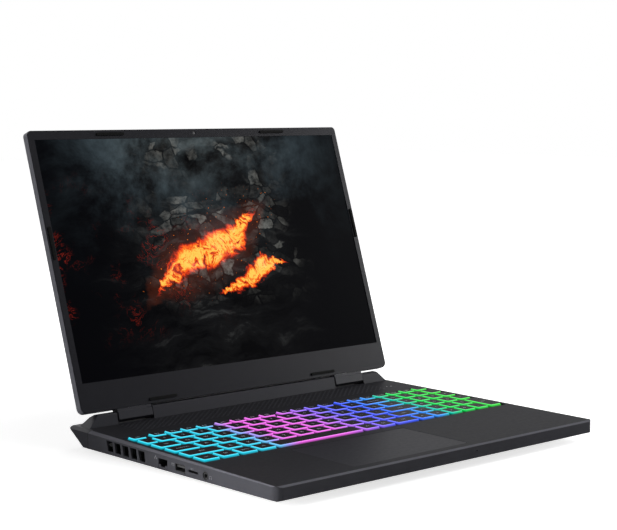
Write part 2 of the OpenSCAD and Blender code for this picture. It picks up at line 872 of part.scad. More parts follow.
// Keys number a to b of a main row, counted from the front row and from the left
module main_keys(row, a, b, part = "key") {
    for (i = [a : b])
        key(keys_left + key_unit * before(main_rows[row], i), keys_front_y + row * key_unit,
            key_unit * main_rows[row][i], key_unit, part);
}

module fn_keys(a, b, part = "key") {
    for (i = [a : b])
        key(keys_left + fn_unit * i + fn_gap * steps(i), fn_row_y, fn_unit, fn_depth, part);
}

// Keys of the number pad, in columns a to b, which may be more than one row deep
module pad_keys(row, a, b, part = "key", rows = 1) {
    for (i = [a : b])
        key(pad_left + pad_unit * i, keys_front_y + row * key_unit,
            pad_unit, key_unit * rows, part);
}

module pad_fn_keys(a, b, part = "key") {
    for (i = [a : b]) key(pad_left + pad_unit * i, fn_row_y, pad_unit, fn_depth, part);
}

module all_keys(part) {
    for (row = [0 : 4]) main_keys(row, 0, len(main_rows[row]) - 1, part);
    fn_keys(0, 15, part);
    pad_fn_keys(0, 3, part);
    for (row = [0 : 4]) pad_keys(row, 0, row < 2 ? 2 : 3, part);
    pad_keys(0, 3, 3, part, 2);
}

module key_color() {
    color("#1b1b1e") base_frame() children();
}

module escape_key() {
    key_color() fn_keys(0, 0);
}

module function_keys() {
    key_color() {
        fn_keys(1, 15);
        pad_fn_keys(0, 2);
    }
}

module power_key() {
    key_color() pad_fn_keys(3, 3);
}

module number_row_keys() {
    key_color() main_keys(4, 0, 12);
}

module backspace_key() {
    key_color() main_keys(4, 13, 13);
}

module upper_letter_keys() {
    key_color() main_keys(3, 0, 13);
}

module home_letter_keys() {
    key_color() main_keys(2, 1, 11);
}

module caps_lock_key() {
    key_color() main_keys(2, 0, 0);
}

module enter_key() {
    key_color() main_keys(2, 12, 12);
}

module lower_letter_keys() {
    key_color() main_keys(1, 1, 10);
}

module left_shift_key() {
    key_color() main_keys(1, 0, 0);
}

module right_shift_key() {
    key_color() main_keys(1, 11, 11);
}

module arrow_keys() {
    key_color() {
        main_keys(1, 12, 12);
        main_keys(0, 8, 9);
        pad_keys(0, 0, 0);
    }
}

module modifier_keys() {
    key_color() {
        main_keys(0, 0, 3);
        main_keys(0, 5, 7);
    }
}

module space_bar() {
    key_color() main_keys(0, 4, 4);
}

module number_pad_keys() {
    key_color() {
        pad_keys(0, 1, 2);
        pad_keys(1, 0, 2);
        for (row = [2 : 4]) pad_keys(row, 0, 3);
    }
}

module pad_enter_key() {
    key_color() pad_keys(0, 3, 3, rows = 2);
}

// A sheet below the key well, with a hole for every key's leg
module key_sheet(z0, z1, lap) {
    translate([0, 0, z0])
        linear_extrude(z1 - z0)
            difference() {
                translate([keys_left - well_margin - lap, keys_front_y - well_margin - lap])
                    square([
                        keys_right - keys_left + 2 * (well_margin + lap),
                        keys_rear_y - keys_front_y + 2 * (well_margin + lap)]);
                all_keys("hole");
            }
}

module keyboard_plate() {
    color("#26262a") base_frame() key_sheet(under_deck_z - plate_t, under_deck_z, plate_lap);
}

module backlight_sheet() {
    color("#d9dde0") base_frame() key_sheet(sheet_z, sheet_z + sheet_t, 0);
}

// ---------- touchpad ----------

module touchpad() {
    color("#3a3a3e") base_frame()
        translate([0, 0, deck_z - touchpad_sink - touchpad_t])
            linear_extrude(touchpad_t)
                touchpad_plan(0);
}

// Steel tray below the touchpad, with room for the click
module touchpad_bracket() {
    tray_z = deck_z - touchpad_sink - touchpad_t - click_room - 0.8;
    color("#77797c") base_frame() difference() {
        translate([0, 0, tray_z])
            linear_extrude(under_deck_z - tray_z)
                touchpad_plan(touchpad_gap + 4);
        translate([0, 0, tray_z + 0.8]) linear_extrude(4) touchpad_plan(touchpad_gap + 1);
        for (x = [-1 : 1])
            translate([touchpad_x + x * touchpad_w / 3.4, touchpad_front_y + 42, tray_z - 1])
                cylinder(r = 11, h = 3);
    }
}

// ---------- electronics, hung below the circuit board ----------

board_front_y = inner_screw_y + boss_r + 3.5;

module board_plan() {
    edge = half_w - wall - 15.4;
    difference() {
        union() {
            translate([-edge, board_front_y])
                square([2 * edge, fan_y - fan_w / 2 - 2 - board_front_y]);
            translate([-fan_x + fan_w / 2 + 1.5, board_front_y])
                square([2 * fan_x - fan_w - 3, rear_screw_y - boss_r - 3 - board_front_y]);
        }
        for (x = [-60, 0, 60]) translate([x, board_front_y + 4]) circle(1.6);
        mirrored() translate([fan_x - fan_w / 2 - 17, chip_y + 36]) circle(1.6);
    }
}

module circuit_board() {
    color("#14301f") base_frame()
        translate([0, 0, board_z]) linear_extrude(board_t) board_plan();
}

// A chip that hangs below the board, given by its middle and size
module chip(x, y, w, d, h) {
    box(x - w / 2, x + w / 2, y - d / 2, y + d / 2, board_z - h, board_z);
}

module processors() {
    color("#2b2d30") base_frame() {
        chip(cpu_x, chip_y, 42, 28, chip_h);
        chip(gpu_x, chip_y, 38, 38, chip_h);
        for (x = [-1, 1], y = [-1, 1])
            chip(gpu_x + x * 12, chip_y + y * 27.5, 12, 14, 1.1);
        for (i = [0 : 5])
            chip(-fan_x + fan_w / 2 + 5.5, chip_y - 25 + i * 9, 7, 7, 2.8);
    }
}

module cold_plates() {
    color("#b87346") base_frame()
        for (x = [cpu_x, gpu_x])
            round_box(x - plate_half, x + plate_half, chip_y - plate_half,
                chip_y + plate_half, fin_low, board_z - chip_h, 2);
}

module memory_modules() {
    color("#1f5a38") base_frame()
        for (x = [-70, 2]) {
            box(x, x + 68, board_front_y + 32, board_front_y + 37, board_z - 4, board_z);
            box(x + 0.2, x + 67.8, board_front_y + 8, board_front_y + 32,
                board_z - 3, board_z - 1.8);
            for (i = [0 : 3])
                box(x + 4 + i * 15.5, x + 16 + i * 15.5, board_front_y + 14,
                    board_front_y + 24, board_z - 4, board_z - 3);
            for (side = [0, 66])
                box(x + side, x + side + 2, board_front_y + 10, board_front_y + 32,
                    board_z - 1.8, board_z);
        }
}

module storage_drive() {
    x1 = half_w - 22;
    y = board_front_y + 3;
    color("#20242c") base_frame() {
        box(x1 - 80, x1, y, y + 22, board_z - 2.2, board_z - 1.4);
        box(x1 - 84, x1 - 78, y - 1, y + 23, board_z - 3.2, board_z);
        box(x1 - 3, x1 + 1, y + 8, y + 14, board_z - 1.4, board_z);
        for (x = [72, 54, 32])
            box(x1 - x, x1 - x + 15, y + 4, y + 18, board_z - 3.2, board_z - 2.2);
    }
}

module wireless_card() {
    y = board_front_y + 1;
    color("#31473a") base_frame() {
        box(-104, -82, y, y + 26, board_z - 2, board_z - 1.2);
        box(-104, -82, y + 26, y + 30, board_z - 3, board_z);
        box(-101, -85, y + 6, y + 20, board_z - 3.2, board_z - 2);
        box(-95, -91, y, y + 4, board_z - 1.2, board_z);
    }
}

module battery() {
    cell_w = (battery_w - 10) / 4;
    color("#26272b") base_frame() difference() {
        round_box(-battery_w / 2, battery_w / 2, battery_y, battery_y + battery_d,
            edge_rear_z, edge_rear_z + battery_t, 2);
        for (i = [0 : 3])
            translate([-battery_w / 2 + 2 + i * (cell_w + 2), battery_y + 3,
                edge_rear_z + battery_t - 0.6])
                cube([cell_w, battery_d - 6, 1]);
    }
}

module speakers() {
    x = speaker_x;
    color("#222226") base_frame() mirrored() difference() {
        round_box(x, x + speaker_w, battery_y, battery_y + speaker_d,
            edge_rear_z, edge_rear_z + speaker_h, 4);
        translate([x + speaker_w / 2, battery_y + speaker_w / 2 + 2, edge_rear_z + speaker_h - 1])
            cylinder(r = speaker_w / 2 - 3, h = 2);
        translate([x + 5, battery_y + speaker_w + 7, edge_rear_z + speaker_h - 0.8])
            cube([speaker_w - 10, speaker_d - speaker_w - 12, 2]);
    }
}

// ---------- cooling ----------

module fan_housing() {
    x0 = fan_x - fan_w / 2;
    x1 = fan_x + fan_w / 2;
    y0 = fan_y - fan_w / 2;
    y1 = fan_y + fan_w / 2;
    difference() {
        round_box(x0, x1, y0, y1, fan_floor_z, fan_top_z, 3);
        translate([fan_x, fan_y, fan_floor_z + fan_sheet])
            cylinder(r = blade_r + 2, h = fan_h - 2 * fan_sheet);
        box(fan_x - blade_r, x1 + 1, fan_y + 8, y1 + 1,
            fan_floor_z + fan_sheet, fan_top_z - fan_sheet);
        box(fan_x, x1 + 1, fan_y - 28, y1 + 1, fan_floor_z + fan_sheet, fan_top_z - fan_sheet);
        translate([fan_x, fan_y, fan_floor_z - 1])
            cylinder(r = fan_inlet_r, h = fan_sheet + 2);
        translate([fan_x, fan_y, fan_top_z - fan_sheet - 1])
            cylinder(r = fan_inlet_r - 2, h = fan_sheet + 2);
    }
    difference() {
        union() {
            for (a = [30, 150, 270])
                translate([fan_x, fan_y, fan_floor_z])
                    rotate([0, 0, a])
                        translate([0, -1.5, 0]) cube([fan_inlet_r + 1, 3, fan_sheet]);
            translate([fan_x, fan_y, fan_floor_z]) cylinder(r = hub_r - 3, h = fan_sheet);
            translate([fan_x, fan_y, fan_floor_z]) cylinder(r = shaft_r + 2, h = fan_h / 2);
        }
        translate([fan_x, fan_y, fan_floor_z + fan_sheet])
            cylinder(r = shaft_r + pin_clear, h = fan_h);
    }
}

module fan_housing_left() {
    color("#1c1c1f") base_frame() mirror([1, 0, 0]) fan_housing();
}

module fan_housing_right() {
    color("#1c1c1f") base_frame() fan_housing();
}

module fan_rotor() {
    low = fan_floor_z + fan_sheet + 0.8;
    high = fan_top_z - fan_sheet - 0.8;
    translate([fan_x, fan_y, 0]) {
        difference() {
            translate([0, 0, low]) cylinder(r = hub_r, h = high - low);
            translate([0, 0, low - 1]) cylinder(r = hub_r - 1.2, h = high - low - 0.2);
        }
        translate([0, 0, fan_floor_z + fan_sheet + 0.3])
            cylinder(r = shaft_r, h = high - fan_floor_z - fan_sheet - 0.5);
        for (i = [0 : blade_n - 1])
            rotate([0, 0, i * 360 / blade_n])
                translate([hub_r - 0.4, 0, low + 0.3])
                    rotate([0, 0, 24])
                        translate([0, -blade_t / 2, 0])
                            cube([blade_len, blade_t, high - low - 0.6]);
    }
}

module fan_rotor_left() {
    color("#2a2a2e") base_frame() mirror([1, 0, 0]) fan_rotor();
}

module fan_rotor_right() {
    color("#2a2a2e") base_frame() fan_rotor();
}

// Plan of one heat pipe: out of the chip, along the rear fins and down the side fins
module pipe_plan(x0) {
    y1 = rear_fin_y + fin_d / 2;
    x1 = side_fin_x + fin_d / 2;
    bend = 10;
    translate([x0 - pipe_w / 2, chip_y - 17]) square([pipe_w, y1 - bend - chip_y + 17]);
    translate([x0 + bend, y1 - pipe_w / 2]) square([x1 - x0 - 2 * bend, pipe_w]);
    translate([x1 - pipe_w / 2, fan_y - 28]) square([pipe_w, y1 - bend - fan_y + 28]);
    for (e = [[x0, 1], [x1, -1]])
        intersection() {
            translate([e[0] + e[1] * bend, y1 - bend]) difference() {
                circle(bend + pipe_w / 2);
                circle(bend - pipe_w / 2);
            }
            translate([e[1] > 0 ? e[0] - pipe_w : e[0] - bend, y1 - bend])
                square([bend + pipe_w, bend + pipe_w]);
        }
}

module heat_pipes() {
    color("#b87346") base_frame() translate([0, 0, pipe_z]) linear_extrude(pipe_t) {
        pipe_plan(gpu_x + 8);
        mirror([1, 0, 0]) pipe_plan(-cpu_x + 8);
        translate([cpu_x - 17, chip_y - 9 - pipe_w / 2])
            square([gpu_x - cpu_x + 34, pipe_w]);
    }
}

module cooling_fins() {
    rear_n = floor((fan_w - 4) / fin_pitch);
    side_n = floor(56 / fin_pitch);
    color("#a9abae") base_frame() mirrored() {
        for (i = [0 : rear_n - 1])
            translate([fan_x - fan_w / 2 + 2 + i * fin_pitch, rear_fin_y, fin_low])
                cube([fin_t, fin_d, fin_high - fin_low]);
        for (i = [0 : side_n - 1])
            translate([side_fin_x, fan_y - 26 + i * fin_pitch, fin_low])
                cube([fin_d, fin_t, fin_high - fin_low]);
    }
}

// ---------- sockets ----------

// A sheet metal shell with its mouth at x = 0, drawn towards -X
module usb_socket() {
    difference() {
        along_x(-usb_d, 0)
            round_rect(-usb_w / 2, -usb_h / 2, usb_w, usb_h, 0.5, 0.5);
        along_x(-usb_d + 0.6, 1)
            round_rect(-usb_w / 2 + metal_t, -usb_h / 2 + metal_t,
                usb_w - 2 * metal_t, usb_h - 2 * metal_t, 0.3, 0.3);
    }
    box(-usb_d + 0.3, -1, -5.5, 5.5, usb_h / 2 - metal_t - 2.5, usb_h / 2 - metal_t - 0.7);
}

module usb_sockets_right() {
    color("#77797d") base_frame()
        for (i = [0, 1])
            translate([half_w - 0.2, usb_right_y + i * usb_right_pitch, port_z])
                usb_socket();
}

module usb_socket_left() {
    color("#77797d") base_frame()
        translate([-half_w + 0.2, usb_left_y, port_z]) rotate([0, 0, 180]) usb_socket();
}

module card_reader() {
    color("#5b5d61") base_frame() difference() {
        box(-side_x, -side_x + 14, card_y - card_w / 2 - 0.8, card_y + card_w / 2 + 0.8,
            port_z - card_h / 2 - 0.6, port_z + card_h / 2 + 0.6);
        box(-half_w, -side_x + 13, card_y - card_w / 2, card_y + card_w / 2,
            port_z - card_h / 2, port_z + card_h / 2 - 0.4);
    }
}

module headset_socket() {
    color("#1a1a1c") base_frame() difference() {
        union() {
            box(-side_x, -side_x + 13, jack_y - 4, jack_y + 4, port_z - 3.6, port_z + 3.6);
            translate([-half_w + 0.2, jack_y, port_z])
                rotate([0, 90, 0]) cylinder(r = jack_collar_r, h = wall);
        }
        translate([-half_w - 1, jack_y, port_z])
            rotate([0, 90, 0]) cylinder(r = jack_r, h = 14);
    }
}

module network_socket() {
    color("#212124") base_frame() difference() {
        box(-side_x, -side_x + net_d, net_y - net_w / 2 - net_wall, net_y + net_w / 2 + net_wall,
            net_low - net_floor, net_low + net_h + net_floor);
        box(-half_w, -side_x + net_d - 1.2, net_y - net_w / 2, net_y + net_w / 2,
            net_low, net_low + net_h);
    }
}

// Hinged lower lip of the network socket
module network_jaw() {
    y0 = net_y - net_w / 2 + 0.3;
    y1 = net_y + net_w / 2 - 0.3;
    color("#3a3a3e") base_frame() difference() {
        union() {
            box(-half_w + 0.1, -half_w + 0.1 + jaw_t, y0, y1, net_low + 0.3, net_low + jaw_h);
            translate([-half_w + 0.1 + jaw_t / 2, y0, net_low + 0.3 + jaw_t / 2])
                rotate([-90, 0, 0]) cylinder(r = jaw_t / 2, h = y1 - y0);
        }
        box(-half_w - 1, -half_w + 3, net_y - 3, net_y + 3, net_low + jaw_h - 1.6, net_low + net_h);
    }
}

usb_c_w = 9;
usb_c_h = 3.3;
hdmi_w = 15;
hdmi_h = 5.4;

// Places of the rear sockets, seen from the front: X and Z
module rear_port_plans(margin) {
    translate([-38 - hdmi_w / 2 - margin, port_z - hdmi_h / 2 - margin])
        square([hdmi_w + 2 * margin, hdmi_h + 2 * margin]);
    for (x = [-12, 10])
        translate([x, port_z]) round_rect(-usb_c_w / 2 - margin, -usb_c_h / 2 - margin,
            usb_c_w + 2 * margin, usb_c_h + 2 * margin, 1.6, 1.6);
    translate([40, port_z]) circle(inlet_r + 1.6 + margin);
}

module rear_sockets() {
    color("#77797d") base_frame() difference() {
        along_y(bay_y - 11, bay_y - 0.2) {
            translate([-38 - hdmi_w / 2, port_z - hdmi_h / 2]) square([hdmi_w, hdmi_h]);
            for (x = [-12, 10])
                translate([x, port_z])
                    round_rect(-usb_c_w / 2, -usb_c_h / 2, usb_c_w, usb_c_h, 1.6, 1.6);
        }
        along_y(bay_y - 10, bay_y) {
            translate([-38, port_z]) difference() {
                square([hdmi_w - 0.8, hdmi_h - 0.8], center = true);
                translate([0, 0.3]) square([11, 1.2], center = true);
            }
            for (x = [-12, 10])
                translate([x, port_z]) difference() {
                    round_rect(-usb_c_w / 2 + 0.3, -usb_c_h / 2 + 0.3,
                        usb_c_w - 0.6, usb_c_h - 0.6, 1.3, 1.3);
                    square([6.6, 0.7], center = true);
                }
        }
    }
}

module power_inlet() {
    color("#1a1a1c") base_frame() translate([40, bay_y - 0.2, port_z]) rotate([90, 0, 0]) {
        difference() {
            cylinder(r = inlet_r + 1.6, h = 13);
            translate([0, 0, -1]) cylinder(r = inlet_r, h = 12);
        }
        translate([0, 0, 1.5]) cylinder(r = 0.85, h = 10);
    }
}

// ---------- lid ----------

module lid_plan(inset) {
    round_rect(-lid_w / 2 + inset, lid_reach + inset, lid_w - 2 * inset, lid_h - 2 * inset,
        lid_low_r - inset, lid_top_r - inset);
}

module lid_cover() {
    color("#4a4a4e") lid_frame() difference() {
        translate([0, 0, lid_back]) linear_extrude(lid_t - bezel_t) lid_plan(0);
        translate([0, 0, lid_back + lid_wall]) linear_extrude(lid_t) lid_plan(lid_wall);
        mirrored()
            box(barrel_in + 2, barrel_out - 2, lid_reach - 1, lid_reach + lid_wall + 1,
                lid_back + lid_wall, lid_face);
    }
}

module screen_surround() {
    color("#1b1b1d") lid_frame() difference() {
        translate([0, 0, lid_face - bezel_t]) linear_extrude(bezel_t) lid_plan(0.25);
        translate([0, 0, lid_face - bezel_t - 1])
            linear_extrude(bezel_t + 2)
                translate([-screen_w / 2, screen_low]) square([screen_w, screen_h]);
        panel_box(0.2, lid_face - bezel_t - 1, panel_face);
        translate([0, (screen_top + lid_top) / 2, lid_face - bezel_t - 1])
            cylinder(r = 2, h = bezel_t + 2);
    }
}

// Room of the display panel between two heights, with a margin around it
module panel_box(margin, z0, z1) {
    box(-screen_w / 2 - panel_lap - margin, screen_w / 2 + panel_lap + margin,
        screen_low - panel_foot - margin, screen_top + panel_lap + margin, z0, z1);
}

module display_panel() {
    color("#07070a") lid_frame() panel_box(0, panel_back, panel_face);
}

module webcam_module() {
    y = (screen_top + lid_top) / 2;
    color("#111114") lid_frame() {
        box(-34, 34, y - 1.4, lid_top - lid_wall, lid_face - bezel_t - 1.6, lid_face - bezel_t);
        translate([0, y, lid_face - bezel_t]) cylinder(r = 1.5, h = bezel_t - 0.3);
    }
}

module antennas() {
    color("#b9a15a") lid_frame() mirrored()
        box(70, 112, screen_top + panel_lap + 0.4, lid_top - lid_wall, lid_back + lid_wall,
            lid_back + lid_wall + 0.6);
}

module lid_bumpers() {
    top_y = (screen_top + lid_top) / 2;
    low_y = lid_reach + 4;
    side_y = lid_reach + chin_h + 124;
    side_x_mid = (screen_w / 2 + lid_w / 2) / 2;
    color("#0d0d0e") lid_frame() mirrored() {
        for (y = [top_y, low_y])
            round_box(94 - bumper_l / 2, 94 + bumper_l / 2, y - bumper_w / 2, y + bumper_w / 2,
                lid_face, lid_face + bumper_h, bumper_w / 2 - eps);
        round_box(side_x_mid - bumper_w / 2, side_x_mid + bumper_w / 2,
            side_y - bumper_l / 2, side_y + bumper_l / 2,
            lid_face, lid_face + bumper_h, bumper_w / 2 - eps);
    }
}

// Side view of a hinge barrel in the lid's own frame: Y up the screen, Z to the user
module barrel_profile(inset) {
    h = barrel_half - inset;
    c = 1.5;
    polygon([
        [-h, -h + c], [-h, h - c], [-h + c, h], [h - c, h], [h, h - c],
        [h, -h + c], [h - c, -h], [-h + c, -h]]);
}

module hinge_barrels() {
    color("#47474b") lid_frame() mirrored() difference() {
        union() {
            along_x(barrel_in, barrel_out) barrel_profile(0);
            box(barrel_in, barrel_out, 1.5, lid_reach, lid_back + 0.2, lid_face);
        }
        along_x(barrel_in + 1.4, barrel_out - 1.4) barrel_profile(1.1);
        box(barrel_in + 1.4, barrel_out - 1.4, 1.5, lid_reach + 1,
            lid_back + 1.6, lid_face - 1.4);
        translate([barrel_in - 1, 0, 0])
            rotate([0, 90, 0]) cylinder(r = pin_r + 0.1, h = 4);
    }
}

module lid_hinges() {
    leaf_z = lid_back + lid_wall;
    color("#8b8d90") lid_frame() mirrored() {
        translate([knuckle_in - 1, 0, 0])
            rotate([0, 90, 0]) cylinder(r = pin_r, h = barrel_in + 22 - knuckle_in);
        box(barrel_in + 3, barrel_in + 21, -2, lid_reach + lid_wall + 0.6,
            leaf_z + 0.2, leaf_z + leaf_t);
        box(barrel_in + 3, barrel_in + 21, lid_reach + lid_wall + 0.1, lid_reach + 40,
            leaf_z, leaf_z + leaf_t);
        box(barrel_in + 3, barrel_in + 12, -2, 2, -1.9, 1.9);
    }
}

module display_cable() {
    z0 = panel_back - 0.65;
    z1 = z0 + 0.8;
    y0 = lid_reach + 10;
    color("#17171a") lid_frame() {
        box(-14, 14, y0, screen_low - panel_foot, z0, z1);
        box(-barrel_in - 26, 0, y0, y0 + 4, z0, z1);
        box(-barrel_in - 26, -barrel_in - 22, 2, y0 + 1, z0, z1);
    }
}

top_case();
bottom_cover();
rear_housing();
hinge_cover();
hinge_shoulders();
keyboard_plate();
backlight_sheet();
touchpad_bracket();
base_hinges();
circuit_board();
processors();
memory_modules();
storage_drive();
wireless_card();
battery();
speakers();
fan_housing_left();
fan_housing_right();
heat_pipes();
cooling_fins();
cold_plates();
network_socket();
usb_socket_left();
card_reader();
headset_socket();
usb_sockets_right();
rear_sockets();
power_inlet();
rubber_feet();
bottom_screws();
lid_cover();
screen_surround();
display_panel();
webcam_module();
lid_hinges();
hinge_barrels();
display_cable();
lid_bumpers();
antennas();
fan_rotor_left();
fan_rotor_right();
touchpad();
network_jaw();
escape_key();
function_keys();
power_key();
number_row_keys();
backspace_key();
upper_letter_keys();
home_letter_keys();
caps_lock_key();
enter_key();
lower_letter_keys();
left_shift_key();
right_shift_key();
arrow_keys();
modifier_keys();
space_bar();
number_pad_keys();
pad_enter_key();
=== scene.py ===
"""Looks of the laptop computer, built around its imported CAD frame.

Units are metres and the frame is the CAD's: +X to the user's right, +Y to the back, +Z up,
with the origin on the desk in the middle of the long rear foot.
"""

import json
import math

import bmesh
import bpy
from mathutils import Matrix, Vector


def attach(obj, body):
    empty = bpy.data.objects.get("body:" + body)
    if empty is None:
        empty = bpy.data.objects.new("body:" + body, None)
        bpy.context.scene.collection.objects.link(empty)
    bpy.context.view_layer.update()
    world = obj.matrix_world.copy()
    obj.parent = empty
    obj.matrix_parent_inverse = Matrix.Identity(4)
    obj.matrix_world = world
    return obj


MM = 0.001

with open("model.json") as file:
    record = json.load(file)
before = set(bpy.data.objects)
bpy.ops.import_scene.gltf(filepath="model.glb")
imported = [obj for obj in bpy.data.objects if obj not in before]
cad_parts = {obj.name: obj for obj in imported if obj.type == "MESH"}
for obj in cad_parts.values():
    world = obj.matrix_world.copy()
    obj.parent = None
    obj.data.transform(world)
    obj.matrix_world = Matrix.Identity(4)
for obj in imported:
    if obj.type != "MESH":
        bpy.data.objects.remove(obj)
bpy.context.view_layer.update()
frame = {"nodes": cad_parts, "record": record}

# ---------- camera ----------

camera_data = bpy.data.cameras.new("camera")
camera_data.sensor_width = 36.0
camera_data.lens = 87.17
camera_data.shift_x = -0.0036
camera_data.shift_y = 0.0894
camera_data.clip_start = 0.05
camera_data.clip_end = 50.0
camera = bpy.data.objects.new("camera", camera_data)
camera.location = (-0.846759, -1.046556, 0.290138)
camera.rotation_euler = (math.radians(90 - 8.142), 0.0, math.radians(-40.947))
bpy.context.scene.collection.objects.link(camera)
bpy.context.scene.camera = camera
bpy.context.scene.view_settings.view_transform = "Standard"

# ---------- sizes that the looks share with the CAD ----------

FRONT_Y = -0.241  # the case's front edge
HALF_W = 0.18005  # from the middle of the case to its side wall
DECK_Z = 0.019
SEAM_Y = 0.0091  # where the rear housing meets the case on each side
KEY_TOP_Z = 0.0201
SKIRT_LOW_Z, SKIRT_HIGH_Z = 0.0182, 0.0200  # the part of the key skirts that is lit
JACK_Y, JACK_Z = -0.156, 0.0115  # middle of the headset socket
HINGE = Vector((0.0, 0.021, 0.0245))
SCREEN_TILT = math.pi - math.radians(108.5)  # turn about X from flat to the drawn position
SCREEN_HALF_W = 0.17265  # the lit area, measured in the plane of the screen
SCREEN_LOW, SCREEN_TOP = 0.03185, 0.24845  # from the hinge line up the screen

# ---------- sizes of printed and embossed details ----------

SUNK = 0.0001  # how deep they reach into the surface below them
PRINT_H = 0.00004  # how far they stand out
FILM_H = 0.00003
RIB_H = 0.00015

BLACK, WHITE = (0.0, 0.0, 0.0), (1.0, 1.0, 1.0)

# ---------- materials ----------


class Look:
    """A Principled material and short ways to add nodes to it."""

    def __init__(self, name, color, rough, spec=0.5, metal=0.0):
        self.name = name
        self.mat = bpy.data.materials.new(name)
        self.mat.use_nodes = True
        self.tree = self.mat.node_tree
        self.bsdf = self.tree.nodes["Principled BSDF"]
        self.put("Base Color", (*color, 1.0))
        self.put("Roughness", rough)
        self.put("Specular IOR Level", spec)
        self.put("Metallic", metal)
        coord = self.tree.nodes.new("ShaderNodeTexCoord")
        self.where = coord.outputs["Object"]
        self.normal = coord.outputs["Normal"]

    def put(self, socket, value):
        self.bsdf.inputs[socket].default_value = value

    def wire(self, socket, out):
        self.tree.links.new(out, self.bsdf.inputs[socket])

    def wired(self, socket):
        """The output that is wired to this input so far."""
        return self.bsdf.inputs[socket].links[0].from_socket

    def node(self, kind, inputs=None, **props):
        made = self.tree.nodes.new("ShaderNode" + kind)
        for key, value in props.items():
            setattr(made, key, value)
        for key, value in (inputs or {}).items():
            if isinstance(value, bpy.types.NodeSocket):
                self.tree.links.new(value, made.inputs[key])
            else:
                made.inputs[key].default_value = value
        return made

    def noise(self, scale, detail=2.0, rough=0.5, at=None, distort=0.0):
        inputs = {
            "Vector": at or self.where,
            "Scale": scale,
            "Detail": detail,
            "Roughness": rough,
            "Distortion": distort,
        }
        return self.node("TexNoise", inputs).outputs["Fac"]

    def ramp(self, fac, stops):
        """Colours blended between places on the scale of 0 to 1."""
        made = self.node("ValToRGB", {"Fac": fac})
        points = made.color_ramp.elements
        while len(points) < len(stops):
            points.new(0.5)
        for point, (place, color) in zip(points, stops):
            point.position = place
            point.color = (*color, 1.0)
        return made.outputs["Color"]

    def step(self, value, low, high, to_low=0.0, to_high=1.0, smooth=True):
        """Value carried from the range low to high over to another range."""
        inputs = {
            "Value": value,
            "From Min": low,
            "From Max": high,
            "To Min": to_low,
            "To Max": to_high,
        }
        kind = "SMOOTHSTEP" if smooth else "LINEAR"
        return self.node("MapRange", inputs, interpolation_type=kind).outputs["Result"]

    def calc(self, operation, a, b=0.0):
        return self.node("Math", {0: a, 1: b}, operation=operation).outputs[0]

    def times(self, first, *others):
        for other in others:
            first = self.calc("MULTIPLY", first, other)
        return first

    def away(self, value, middle=0.0):
        """Distance of a value from a middle one."""
        if middle:
            value = self.calc("SUBTRACT", value, middle)
        return self.calc("ABSOLUTE", value)

    def vector(self, operation, a, b):
        return self.node("VectorMath", {0: a, 1: b}, operation=operation).outputs[0]

    def mix(self, fac, a, b, blend="MIX"):
        made = self.node("Mix", data_type="RGBA", blend_type=blend)
        for key, value in ((0, fac), (6, a), (7, b)):
            if isinstance(value, bpy.types.NodeSocket):
                self.tree.links.new(value, made.inputs[key])
            elif key == 0:
                made.inputs[key].default_value = value
            else:
                made.inputs[key].default_value = (*value, 1.0)
        return made.outputs[2]

    def split(self, vector):
        return self.node("SeparateXYZ", {0: vector}).outputs

    def bump(self, height, distance, strength):
        inputs = {"Height": height, "Distance": distance, "Strength": strength}
        return self.node("Bump", inputs).outputs["Normal"]


def grey(level):
    return (level, level, level)


def shade(color, factor):
    return tuple(min(1.0, c * factor) for c in color)


def plastic(name, color, rough=0.5, spec=0.4, grain=0.0003, depth=0.000005, vary=0.06):
    """Moulded plastic: slight clouds in its tone, a fine moulded grain, uneven gloss."""
    look = Look(name, color, rough, spec)
    clouds = look.noise(45.0, 4.0, 0.6)
    tones = [(0.3, shade(color, 1 - vary)), (0.7, shade(color, 1 + vary))]
    look.wire("Base Color", look.ramp(clouds, tones))
    gloss = look.noise(260.0, 3.0)
    look.wire("Roughness", look.step(gloss, 0.3, 0.7, rough - 0.02, rough + 0.02))
    look.wire("Normal", look.bump(look.noise(1.0 / grain), depth, 0.3))
    return look


def case_look(name, wall, edge, deck, rough, spec):
    """Case plastic with painted light: lighter walls, painted bevel highlights, a darker deck;
    painted shade below and in the side seams.
    """
    look = plastic(name, edge, rough, spec)
    tone = look.wired("Base Color")
    up = look.split(look.normal)[2]
    wall_part, deck_part = grey(wall[0] / edge[0]), grey(deck[0] / edge[0])
    # painted light by facing: walls lighter, a painted highlight on the bevels, the deck darker
    painted_light_by_facing = look.ramp(up, [(0.30, wall_part), (0.55, WHITE), (0.90, WHITE), (0.975, deck_part)])
    tone = look.mix(1.0, tone, painted_light_by_facing, "MULTIPLY")
    # painted shade: faces that turn down go near black
    below = look.step(up, -0.20, -0.55, 0.0, 0.8)
    tone = look.mix(below, tone, grey(0.003))
    # painted shade: a dark line on the side walls along the seam with the rear housing
    x, y, _z = look.split(look.where)
    painted_seam_shade = look.step(look.away(y, SEAM_Y), 0.00045, 0.0002)
    outer = look.step(look.away(x), 0.1760, 0.1765)
    look.wire("Base Color", look.mix(look.times(painted_seam_shade, outer), tone, grey(0.004)))
    return look


def lid_look():
    """Plastic of the lid, with painted light: its two sides lighter than its faces."""
    look = plastic("lid_plastic", (0.160, 0.160, 0.182), 0.42, 0.08)
    tone = look.wired("Base Color")
    painted_light_side = look.away(look.split(look.normal)[0])
    # painted light: the faces are darkened and the sides kept light
    part = look.ramp(painted_light_side, [(0.30, grey(0.26)), (0.70, WHITE)])
    look.wire("Base Color", look.mix(1.0, tone, part, "MULTIPLY"))
    return look


